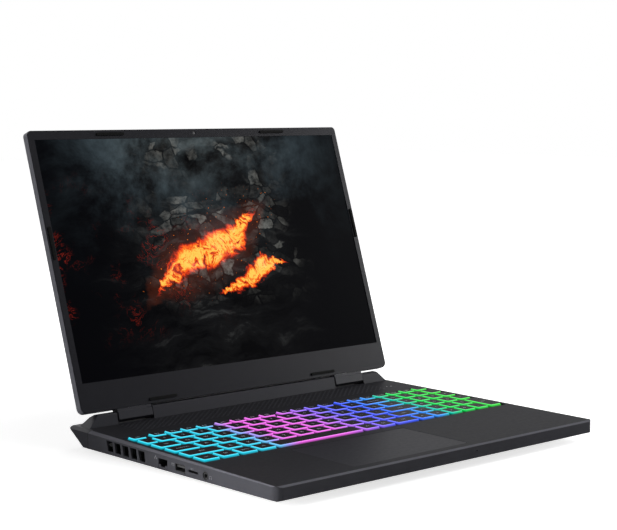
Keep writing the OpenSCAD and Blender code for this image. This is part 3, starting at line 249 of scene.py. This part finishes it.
def surround_look():
    """Frame of the screen, with a painted highlight on the edge where it faces up the screen."""
    look = plastic("surround_plastic", (0.009, 0.009, 0.0125), 0.36, 0.08)
    tone = look.wired("Base Color")
    up_screen = (0.0, math.cos(SCREEN_TILT), math.sin(SCREEN_TILT))
    product = look.node("VectorMath", {0: look.normal, 1: up_screen}, operation="DOT_PRODUCT")
    # painted highlight on the faces that turn up the screen
    painted_light_by_facing = look.step(product.outputs["Value"], 0.5, 0.9)
    look.wire("Base Color", look.mix(painted_light_by_facing, tone, (0.16, 0.16, 0.18)))
    return look


def metal(name, color, rough, stretch):
    """Sheet metal with fine drawn lines along one direction."""
    look = Look(name, color, rough, 0.5, 1.0)
    drawn = look.node("Mapping", {"Vector": look.where, "Scale": stretch}).outputs[0]
    lines = look.noise(900.0, 3.0, 0.6, drawn)
    tones = [(0.25, shade(color, 0.86)), (0.75, shade(color, 1.1))]
    look.wire("Base Color", look.ramp(lines, tones))
    look.wire("Roughness", look.step(lines, 0.2, 0.8, rough - 0.08, rough + 0.1))
    look.wire("Normal", look.bump(lines, 0.00002, 0.4))
    return look


def copper(name):
    return metal(name, (0.78, 0.40, 0.24), 0.32, (1.0, 12.0, 1.0))


def pipe_painted_shade_look():
    """Copper with painted shade: near black where it runs below the side fins, behind the vents.
    """
    look = copper("copper_painted_shade")
    bare = look.wired("Base Color")
    # painted shade: the copper goes near black beyond the inner edge of the fins
    out = look.step(look.away(look.split(look.where)[0]), 0.140, 0.150)
    look.wire("Base Color", look.mix(out, bare, grey(0.006)))
    return look


# Colour of the key lights at places across the case
KEY_ZONES = [
    (-0.170, (0.0, 0.62, 0.80)),
    (-0.098, (0.02, 0.60, 0.82)),
    (-0.086, (0.28, 0.32, 0.90)),
    (-0.072, (0.85, 0.12, 0.78)),
    (-0.020, (0.82, 0.13, 0.80)),
    (0.006, (0.38, 0.14, 0.90)),
    (0.030, (0.12, 0.12, 0.95)),
    (0.062, (0.03, 0.10, 0.95)),
    (0.092, (0.03, 0.30, 0.90)),
    (0.106, (0.0, 0.55, 0.40)),
    (0.120, (0.0, 0.68, 0.10)),
    (0.178, (0.05, 0.72, 0.03)),
]
ZONES_HALF_W = 0.18


def key_zones(look):
    """Colour of the key lights, in zones from left to right."""
    across = look.split(look.where)[0]
    place = look.step(across, -ZONES_HALF_W, ZONES_HALF_W, smooth=False)
    stops = [((x + ZONES_HALF_W) / (2 * ZONES_HALF_W), color) for x, color in KEY_ZONES]
    return look.ramp(place, stops)


def key_look():
    """Black key top over a clear skirt that the backlight fills."""
    look = Look("key_plastic", (0.010, 0.009, 0.011), 0.5, 0.04)
    skirt = look.step(look.split(look.normal)[2], 0.75, 0.85, 1.0, 0.0)
    up = look.split(look.where)[2]
    height = look.step(up, SKIRT_LOW_Z, SKIRT_HIGH_Z, smooth=False)
    strength = look.step(height, 0.0, 1.0, 0.35, 1.45, smooth=False)
    pale = look.times(look.step(height, 0.7, 1.0), 0.14)
    look.wire("Emission Color", look.mix(pale, key_zones(look), (0.85, 0.95, 1.0)))
    look.wire("Emission Strength", look.times(skirt, strength))
    tones = [(0.3, (0.008, 0.007, 0.009)), (0.7, (0.012, 0.011, 0.013))]
    look.wire("Base Color", look.ramp(look.noise(90.0, 3.0), tones))
    look.wire("Roughness", look.step(look.noise(300.0, 3.0), 0.3, 0.7, 0.46, 0.56))
    look.wire("Normal", look.bump(look.noise(2600.0), 0.00002, 0.5))
    return look


def legend_look():
    """Letters of the keys, in a pale tone of the light below them."""
    look = Look("key_legends", (0.25, 0.25, 0.26), 0.5)
    look.wire("Emission Color", look.mix(0.35, key_zones(look), (0.8, 0.85, 0.9)))
    look.wire("Emission Strength", look.step(look.noise(400.0), 0.2, 0.8, 0.24, 0.34))
    return look


class Screen(Look):
    """Lit picture: cloud over dark broken rock, with two bands of fire across it.

    Its places are in the plane of the screen, with u across and v from the hinge line upward.
    """

    def __init__(self):
        super().__init__("screen_picture", (0.0006, 0.0006, 0.0007), 0.36, 0.006)
        turned = {
            "Vector": self.where,
            "Location": tuple(HINGE),
            "Rotation": (SCREEN_TILT, 0.0, 0.0),
        }
        flat = self.node("Mapping", turned, vector_type="TEXTURE").outputs[0]
        self.u, self.v, _depth = self.split(flat)
        self.plane = self.node("CombineXYZ", {0: self.u, 1: self.v}).outputs[0]
        bend = self.node("TexNoise", {"Vector": self.plane, "Scale": 15.0, "Detail": 6.0})
        shift = self.vector("SUBTRACT", bend.outputs["Color"], (0.5, 0.5, 0.5))
        shift = self.node("VectorMath", {0: shift, "Scale": 0.05}, operation="SCALE").outputs[0]
        self.bent = self.vector("ADD", self.plane, shift)
        self.wire("Emission Color", self.glints(self.sparks(self.fire(self.cloud(self.rock())))))
        self.wire("Emission Strength", self.inside())
        self.wire("Roughness", self.step(self.noise(2200.0), 0.3, 0.7, 0.33, 0.40))

    def rock(self):
        """Dark slopes, and over them broken cells that each have a tone and a dark joint."""
        turned = {"Vector": self.bent, "Rotation": (0.0, 0.0, -0.5), "Scale": (14.0, 46.0, 1.0)}
        slope = self.noise(1.0, 9.0, 0.68, self.node("Mapping", turned).outputs[0])
        tones = [
            (0.40, (0.0010, 0.0010, 0.0014)),
            (0.56, (0.0060, 0.0062, 0.0068)),
            (0.66, (0.0300, 0.0310, 0.0310)),
            (0.76, (0.0900, 0.0900, 0.0850)),
        ]
        near_mid = self.step(self.away(self.u, -0.015), 0.14, 0.02)
        slopes = self.mix(near_mid, (0.0010, 0.0011, 0.0018), self.ramp(slope, tones))

        place = self.node("Mapping", {"Vector": self.bent, "Scale": (1.0, 1.5, 1.0)}).outputs[0]
        inputs = {"Vector": place, "Scale": 62.0}
        cells = self.node("TexVoronoi", inputs).outputs["Color"]
        joints = self.node("TexVoronoi", inputs, feature="DISTANCE_TO_EDGE").outputs["Distance"]
        rock = self.times(
            self.calc("POWER", self.split(cells)[0], 2.6),
            self.step(joints, 0.01, 0.10),
            self.step(self.noise(160.0, 4.0, 0.7, self.plane), 0.25, 0.75),
            self.step(self.away(self.u, 0.012), 0.115, 0.03),
            self.step(self.v, 0.075, 0.13),
            self.step(self.noise(22.0, 3.0, 0.5, self.plane), 0.36, 0.54),
        )
        return self.mix(rock, slopes, (0.19, 0.19, 0.175))

    def cloud(self, picture):
        """Cloud over the upper half, brighter at the top middle."""
        haze = self.times(
            self.step(self.noise(10.0, 10.0, 0.66, self.plane, 0.25), 0.40, 0.72),
            self.step(self.v, 0.10, 0.245),
            self.step(self.away(self.u), 0.172, 0.08, 0.2, 1.0),
        )
        middle = self.step(self.away(self.u), 0.13, 0.0)
        glow = self.times(self.step(self.v, 0.175, 0.25), middle)
        air = self.mix(glow, (0.055, 0.078, 0.092), (0.130, 0.165, 0.175))
        return self.mix(haze, picture, air)

    def band(self, middle, turn, reach, width, wander):
        """How hot a tapering band is, from its middle, direction, half length and half width."""
        du = self.calc("SUBTRACT", self.u, middle[0])
        dv = self.calc("SUBTRACT", self.v, middle[1])
        cos, sin = math.cos(turn), math.sin(turn)
        along = self.calc("ADD", self.times(du, cos), self.times(dv, sin))
        across = self.calc("SUBTRACT", self.times(dv, cos), self.times(du, sin))
        wave = self.calc("SINE", self.times(along, 2.6 / reach))
        across = self.calc("ADD", across, self.times(wave, wander))
        rough = self.calc("SUBTRACT", self.noise(38.0, 6.0, 0.65, self.bent), 0.5)
        across = self.calc("ADD", across, self.times(rough, 0.035))
        taper = self.step(self.away(along), reach, reach * 0.2)
        half = self.calc("ADD", self.times(taper, width), 0.0008)
        place = self.calc("DIVIDE", self.away(across), half)
        return self.times(self.step(place, 1.0, 0.35), self.step(taper, 0.0, 0.25))

    def fire(self, picture):
        """Two burning bands of strands, and a faint halo around the longer one."""
        strands = self.noise(75.0, 8.0, 0.72, self.bent, 1.2)
        strand = self.step(self.away(strands, 0.5), 0.14, 0.0)
        middle, turn, wander = (-0.012, 0.138), 0.62, 0.010
        hot = self.calc(
            "MAXIMUM",
            self.band(middle, turn, 0.082, 0.0165, wander),
            self.band((0.036, 0.112), 0.18, 0.050, 0.0085, -0.007),
        )
        heat = self.times(hot, self.calc("ADD", self.times(strand, 0.80), 0.16))
        tones = [
            (0.0, BLACK),
            (0.14, (0.22, 0.008, 0.001)),
            (0.32, (0.85, 0.045, 0.003)),
            (0.60, (1.0, 0.19, 0.008)),
            (0.90, (1.0, 0.62, 0.09)),
        ]
        halo = self.times(self.band(middle, turn, 0.105, 0.040, wander), 0.035)
        picture = self.mix(1.0, picture, self.mix(halo, BLACK, (1.0, 0.18, 0.05)), "ADD")
        return self.mix(1.0, picture, self.ramp(heat, tones), "ADD")

    def sparks(self, picture):
        """Sparks that fly off the bands."""
        specks = self.step(self.noise(420.0, 2.0, 0.5, self.plane), 0.69, 0.74)
        around = self.band((-0.004, 0.146), 0.55, 0.120, 0.050, 0.006)
        return self.mix(self.times(specks, around, 0.8), picture, (1.0, 0.22, 0.02))

    def glints(self, picture):
        """Faint red veins to the left and below."""
        veins = self.noise(46.0, 7.0, 0.7, self.bent, 2.0)
        red = self.times(
            self.step(self.away(veins, 0.5), 0.014, 0.0),
            self.step(self.u, 0.03, -0.09),
            self.step(self.v, 0.225, 0.15),
            self.step(self.v, 0.055, 0.115),
            self.step(self.noise(24.0, 3.0, 0.5, self.plane), 0.50, 0.66),
        )
        return self.mix(red, picture, (0.34, 0.022, 0.010))

    def inside(self):
        """1 inside the lit area and 0 around it."""
        side = self.calc("LESS_THAN", self.away(self.u), SCREEN_HALF_W)
        low = self.calc("GREATER_THAN", self.v, SCREEN_LOW)
        top = self.calc("LESS_THAN", self.v, SCREEN_TOP)
        return self.times(side, low, top)


# case tones by facing, as painted light: lit walls, painted highlight on the bevels, darker deck
# and top
CASE_WALL, CASE_EDGE_HIGHLIGHT = (0.048, 0.048, 0.058), (0.120, 0.120, 0.137)
CASE_DECK = (0.019, 0.019, 0.0235)
REAR_WALL, REAR_TOP = (0.024, 0.024, 0.030), (0.020, 0.020, 0.025)

LOOKS = {
    look.name: look
    for look in (
        case_look("case_plastic", CASE_WALL, CASE_EDGE_HIGHLIGHT, CASE_DECK, 0.47, 0.014),
        case_look("rear_plastic", REAR_WALL, REAR_WALL, REAR_TOP, 0.38, 0.12),
        plastic("bottom_plastic", (0.010, 0.010, 0.011), 0.6, 0.05),
        lid_look(),
        surround_look(),
        plastic("touchpad_film", (0.019, 0.019, 0.0230), 0.42, 0.024, 0.0008, 0.0000015),
        plastic("rubber", grey(0.005), 0.8, 0.08, 0.0006, 0.00004),
        plastic("fan_plastic", (0.018, 0.018, 0.02), 0.5),
        plastic("chip_black", (0.022, 0.022, 0.025), 0.55, 0.4, 0.0002),
        plastic("battery_wrap", (0.02, 0.02, 0.023), 0.35, 0.5, 0.002, 0.00006),
        plastic("socket_plastic", (0.012, 0.012, 0.013), 0.45),
        plastic("board_green", (0.012, 0.06, 0.035), 0.35, 0.5, 0.0012, 0.00003, 0.35),
        plastic("light_sheet", (0.7, 0.73, 0.76), 0.3, 0.5, 0.001, 0.00003, 0.04),
        metal("plate_steel", (0.05, 0.05, 0.055), 0.5, (1.0, 20.0, 1.0)),
        metal("bright_steel", (0.52, 0.53, 0.55), 0.3, (1.0, 14.0, 14.0)),
        copper("copper"),
        pipe_painted_shade_look(),
        metal("fin_aluminium", (0.035, 0.035, 0.037), 0.5, (1.0, 1.0, 16.0)),
        metal("socket_metal", (0.07, 0.07, 0.072), 0.5, (12.0, 1.0, 1.0)),
        metal("antenna_foil", (0.75, 0.58, 0.28), 0.35, (1.0, 9.0, 9.0)),
        key_look(),
    )
}
LOOKS["screen_glass"] = Screen()

slot_of = {row["node"]: row["material_slot"] for row in frame["record"]["subparts"]}
own_look = {  # nodes that look other than their slot
    "network_jaw": "case_plastic",
    # copper with painted shade behind the vents
    "heat_pipes": "copper_painted_shade",
    "hinge_barrels": "rear_plastic",
    "hinge_cover": "rear_plastic",
    "hinge_shoulders": "rear_plastic",
}
for node_name, node_object in frame["nodes"].items():
    for material_slot in node_object.material_slots:
        material_slot.material = LOOKS[own_look.get(node_name, slot_of[node_name])].mat

# ---------- helpers for pieces ----------


def new_piece(name, mesh, look, body="base"):
    """Piece that rides on a body, in the material of a look."""
    piece = bpy.data.objects.new(name, mesh)
    bpy.context.scene.collection.objects.link(piece)
    mesh.materials.clear()
    mesh.materials.append(look.mat)
    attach(piece, body)


def closed_ring(bm, first, second):
    """Faces between two closed loops of as many points."""
    for i in range(len(first)):
        j = (i + 1) % len(first)
        bm.faces.new((first[i], first[j], second[j], second[i]))


def prism(bm, outline, z0, z1, matrix=None):
    """Closed solid over a plane outline."""
    low = [bm.verts.new((x, y, z0)) for x, y in outline]
    high = [bm.verts.new((x, y, z1)) for x, y in outline]
    bm.faces.new(list(reversed(low)))
    bm.faces.new(high)
    closed_ring(bm, low, high)
    if matrix:
        bmesh.ops.transform(bm, matrix=matrix, verts=low + high)


def circle(radius, count):
    turns = [2 * math.pi * i / count for i in range(count)]
    return [(radius * math.cos(turn), radius * math.sin(turn)) for turn in turns]


def mesh_from(bm, name):
    mesh = bpy.data.meshes.new(name)
    bm.to_mesh(mesh)
    bm.free()
    return mesh


def solid_from(bm, name):
    bmesh.ops.recalc_face_normals(bm, faces=bm.faces)
    return mesh_from(bm, name)


# ---------- key legends ----------

LETTER_H, WORD_H = 0.0046, 0.0034
CAP_MIN_W = 0.006  # islands of a key node that are narrower than this are no caps
ROW_STEP = 0.004  # less than the distance of two rows
LEGENDS = {
    "escape_key": ["esc"],
    "function_keys": [f"F{i}" for i in range(1, 13)]
    + ["prt", "pause", "del", "home", "pgup", "pgdn"],
    "number_row_keys": list("`1234567890-="),
    "backspace_key": ["backspace"],
    "upper_letter_keys": ["tab"] + list("QWERTYUIOP[]\\"),
    "home_letter_keys": list("ASDFGHJKL;'"),
    "caps_lock_key": ["caps lock"],
    "enter_key": ["enter"],
    "lower_letter_keys": list("ZXCVBNM,./"),
    "left_shift_key": ["shift"],
    "right_shift_key": ["shift"],
    "arrow_keys": ["<", "v", ">", "^"],
    "modifier_keys": ["ctrl", "fn", "menu", "alt", "alt", "fn", "ctrl"],
    "number_pad_keys": list("0.123456=789+") + ["num", "/", "*", "-"],
    "pad_enter_key": ["enter"],
}


def islands(bm):
    """The connected groups of vertices of a mesh."""
    seen = set()
    for start in bm.verts:
        if start in seen:
            continue
        seen.add(start)
        island, stack = [], [start]
        while stack:
            vert = stack.pop()
            island.append(vert)
            for edge in vert.link_edges:
                other = edge.other_vert(vert)
                if other not in seen:
                    seen.add(other)
                    stack.append(other)
        yield island


def key_boxes(node):
    """Plan boxes of the keys of one node, front row first and from left to right."""
    bm = bmesh.new()
    bm.from_mesh(frame["nodes"][node].data)
    bmesh.ops.remove_doubles(bm, verts=bm.verts, dist=1e-6)
    boxes = []
    for island in islands(bm):
        xs = [v.co.x for v in island]
        ys = [v.co.y for v in island]
        if max(xs) - min(xs) > CAP_MIN_W:
            boxes.append((min(xs), max(xs), min(ys), max(ys)))
    bm.free()
    return sorted(boxes, key=lambda b: (round(b[2] / ROW_STEP), b[0]))


def legend_mesh(words, boxes, name):
    """Flat letters just above the key tops, as one mesh."""
    bm = bmesh.new()
    for word, (x0, x1, y0, y1) in zip(words, boxes):
        curve = bpy.data.curves.new("word", "FONT")
        curve.body = word
        curve.size = LETTER_H if len(word) < 3 else WORD_H
        curve.align_x, curve.align_y = "CENTER", "CENTER"
        curve.resolution_u = 2
        holder = bpy.data.objects.new("word", curve)
        bpy.context.scene.collection.objects.link(holder)
        bpy.context.view_layer.update()
        flat = holder.to_mesh()
        middle = ((x0 + x1) / 2, (y0 + y1) / 2, KEY_TOP_Z + FILM_H)
        flat.transform(Matrix.Translation(middle))
        bm.from_mesh(flat)
        holder.to_mesh_clear()
        bpy.data.objects.remove(holder)
        bpy.data.curves.remove(curve)
    bmesh.ops.remove_doubles(bm, verts=bm.verts, dist=1e-7)
    return mesh_from(bm, name)


legend_material = legend_look()
for node_name, words in LEGENDS.items():
    name = node_name + "_legends"
    mesh = legend_mesh(words, key_boxes(node_name), name)
    new_piece(name, mesh, legend_material, node_name)

# ---------- embossed strip on the deck, in mm from its middle and the front edge ----------

RIB = [(-1.9, -0.9), (-1.3, -1.0), (1.9, 0.1), (1.9, 0.8), (1.3, 0.9), (-1.9, -0.2)]
STRIP_X, STRIP_Y = -145.0, 222.8  # middle of the first rib
RIB_PITCH, ROW_PITCH = 5.8, 2.7
RIBS, ROWS = 50, 12


def strip_mesh():
    """Rows of small slanted ribs between the keyboard and the hinge cover."""
    bm = bmesh.new()
    for row in range(ROWS):
        y = STRIP_Y + row * ROW_PITCH
        stagger = (row % 2) * RIB_PITCH / 2
        for i in range(RIBS):
            x = STRIP_X + stagger + i * RIB_PITCH
            outline = [((x + px) * MM, FRONT_Y + (y + py) * MM) for px, py in RIB]
            prism(bm, outline, DECK_Z - SUNK, DECK_Z + RIB_H)
    return solid_from(bm, "deck_strip")


rib_look = plastic("rib_plastic", (0.029, 0.029, 0.034), 0.45, 0.04)
new_piece("deck_strip", strip_mesh(), rib_look)

# ---------- ring and marks on the left wall ----------

WALL_MARKS = (  # middle along and up the wall, and bars (along, up, length, height), in mm
    (  # network socket
        (-90.2, 14.4),
        [
            (0, 0.9, 1.1, 0.9),
            (-1.3, -0.9, 1.1, 0.9),
            (1.3, -0.9, 1.1, 0.9),
            (0, 0, 2.9, 0.25),
            (0, 0.3, 0.25, 0.7),
        ],
    ),
    (  # USB socket
        (-113.6, 13.0),
        [
            (0, 0.8, 3.4, 0.25),
            (0, -0.8, 3.4, 0.25),
            (1.6, 0, 0.25, 1.6),
            (-1.6, 0, 0.25, 1.6),
            (0, 0.25, 2.4, 0.25),
        ],
    ),
    (  # card reader
        (-138.6, 13.6),
        [(0, 0.5, 3.4, 0.25), (0, -0.5, 3.4, 0.25), (1.6, 0, 0.25, 1.2), (-1.6, 0, 0.25, 1.2)],
    ),
    (  # headset socket
        (-162.2, 11.0),
        [
            (0, 1.3, 2.2, 0.25),
            (1.1, 0.2, 0.35, 2.2),
            (-1.1, 0.2, 0.35, 2.2),
            (1.0, -0.7, 0.7, 1.0),
            (-1.0, -0.7, 0.7, 1.0),
        ],
    ),
)
MARK_SUNK = 0.00005
JACK_RING_IN, JACK_RING_OUT = 0.00265, 0.00305  # radii of the joint around the collar
JACK_RING_SUNK = 0.00004
JACK_RING_SIDES = 32


def headset_ring_mesh():
    """Dark joint around the collar of the headset socket."""
    bm = bmesh.new()
    section = (
        (JACK_RING_IN, -JACK_RING_SUNK),
        (JACK_RING_OUT, -JACK_RING_SUNK),
        (JACK_RING_OUT, FILM_H),
        (JACK_RING_IN, FILM_H),
    )
    rings = [
        [
            bm.verts.new((-HALF_W - out, JACK_Y + y, JACK_Z + z))
            for y, z in circle(radius, JACK_RING_SIDES)
        ]
        for radius, out in section
    ]
    for here, there in zip(rings, rings[1:] + rings[:1]):
        closed_ring(bm, here, there)
    return solid_from(bm, "headset_ring")


def wall_point(y, z, out):
    """The point a little outside the left wall at this place along and up it."""
    wall = frame["nodes"]["top_case"]
    hit, place, _normal, _face = wall.ray_cast(Vector((-0.3, y, z)), Vector((1.0, 0.0, 0.0)))
    if not hit:
        raise RuntimeError("a wall mark misses the wall")
    return Vector((place.x - out, y, z))


def marks_mesh():
    """Plain marks of small bars beside the sockets."""
    bm = bmesh.new()
    for (y_mid, z_mid), bars in WALL_MARKS:
        for along, up, length, height in bars:
            y, z = (y_mid + along) * MM, (z_mid + up) * MM
            dy, dz = length * MM / 2, height * MM / 2
            corners = [(y - dy, z - dz), (y + dy, z - dz), (y + dy, z + dz), (y - dy, z + dz)]
            inner, outer = (
                [bm.verts.new(wall_point(cy, cz, out)) for cy, cz in corners]
                for out in (-MARK_SUNK, PRINT_H)
            )
            bm.faces.new(inner)
            bm.faces.new(outer)
            closed_ring(bm, inner, outer)
    return solid_from(bm, "socket_marks")


new_piece("headset_ring", headset_ring_mesh(), LOOKS["rubber"])
mark_look = plastic("mark_paint", (0.16, 0.16, 0.17), 0.6, 0.1)
new_piece("socket_marks", marks_mesh(), mark_look)

# ---------- status marks on the deck, microphone hole in the front wall ----------

ROUND_MARK_X, ROUND_MARK_Y, ROUND_MARK_R = 0.1512, -0.0098, 0.0008
LONG_MARK = [(0.1545, -0.0116), (0.1571, -0.0116), (0.1571, -0.0104), (0.1545, -0.0104)]
MICROPHONE_X, MICROPHONE_Z = 0.0308, 0.0141
MICROPHONE_R, MICROPHONE_DEPTH = 0.0006, 0.0004
ROUND_SIDES = 16

bm = bmesh.new()
round_mark = [(ROUND_MARK_X + x, ROUND_MARK_Y + y) for x, y in circle(ROUND_MARK_R, ROUND_SIDES)]
for outline in (round_mark, LONG_MARK):
    prism(bm, outline, DECK_Z - SUNK, DECK_Z + PRINT_H)
status_paint = plastic("status_paint", (0.30, 0.30, 0.31), 0.6, 0.1)
new_piece("status_marks", solid_from(bm, "status_marks"), status_paint)

bm = bmesh.new()
to_front = Matrix.Translation((MICROPHONE_X, FRONT_Y, MICROPHONE_Z))
to_front = to_front @ Matrix.Rotation(math.pi / 2, 4, "X")
prism(bm, circle(MICROPHONE_R, ROUND_SIDES), -MICROPHONE_DEPTH, FILM_H, to_front)
new_piece("microphone_hole", solid_from(bm, "microphone_hole"), LOOKS["rubber"])

# ---------- floor and background ----------

FLOOR_HALF = 6.0
FLOOR_NEAR, FLOOR_FAR = 0.20, 0.42  # from the origin, where its own white rises to full
FLOOR_NEAR_LEVEL = 0.72
WORLD_LEVEL = 0.10  # what the background adds to the light on the object

bm = bmesh.new()
bmesh.ops.create_grid(bm, x_segments=1, y_segments=1, size=FLOOR_HALF)
floor_mesh = mesh_from(bm, "floor")
floor = bpy.data.objects.new("floor", floor_mesh)
bpy.context.scene.collection.objects.link(floor)
floor_look = Look("floor", grey(0.80), 0.9, 0.05)
is_camera = floor_look.node("LightPath").outputs["Is Camera Ray"]
length = floor_look.node("VectorMath", {0: floor_look.where}, operation="LENGTH")
away = length.outputs["Value"]
level = floor_look.step(away, FLOOR_NEAR, FLOOR_FAR, FLOOR_NEAR_LEVEL, 1.0)
floor_look.put("Emission Color", (*WHITE, 1.0))
floor_look.wire("Emission Strength", floor_look.times(is_camera, level))
floor_mesh.materials.append(floor_look.mat)

world = bpy.data.worlds.new("world")
bpy.context.scene.world = world
world.use_nodes = True
nodes, links = world.node_tree.nodes, world.node_tree.links
background = nodes["Background"]
path = nodes.new("ShaderNodeLightPath")
shown = path.outputs["Is Camera Ray"]
for ray in ("Is Transmission Ray", "Is Glossy Ray"):
    either = nodes.new("ShaderNodeMath")
    either.operation = "MAXIMUM"
    links.new(shown, either.inputs[0])
    links.new(path.outputs[ray], either.inputs[1])
    shown = either.outputs[0]
strength = nodes.new("ShaderNodeMapRange")
links.new(shown, strength.inputs["Value"])
strength.inputs["To Min"].default_value = WORLD_LEVEL
strength.inputs["To Max"].default_value = 1.0
background.inputs["Color"].default_value = (*WHITE, 1.0)
links.new(strength.outputs[0], background.inputs["Strength"])

# ---------- lamps ----------


def area_light(name, place, aim, size, power, spread=180.0):
    """Square lamp aimed at a point, with its light kept within the angle of spread."""
    data = bpy.data.lights.new(name, "AREA")
    data.shape = "SQUARE"
    data.size = size
    data.spread = math.radians(spread)
    data.energy = power
    lamp = bpy.data.objects.new(name, data)
    lamp.visible_camera = False
    lamp.location = place
    lamp.rotation_euler = (Vector(aim) - Vector(place)).to_track_quat("-Z", "Y").to_euler()
    bpy.context.scene.collection.objects.link(lamp)


area_light("left_light", (-1.8, 0.35, 0.4), (-0.15, -0.1, 0.03), 1.0, 8.0)
area_light("near_left_light", (-0.5, -0.1, 0.12), (-0.18, -0.30, 0.01), 0.24, 0.6, 80.0)
area_light("front_light", (1.15, -0.55, 0.5), (0.1, -0.05, 0.1), 0.6, 11.5)
area_light("right_light", (0.6, -1.0, 1.6), (0.0, -0.05, 0.05), 0.8, 4.5)
area_light("top_light", (1.1, 0.55, 1.3), (0.0, -0.1, 0.02), 0.5, 5.0)
area_light("rear_light", (-0.9, 1.7, 1.0), (0.0, 0.05, 0.12), 0.8, 4.5)
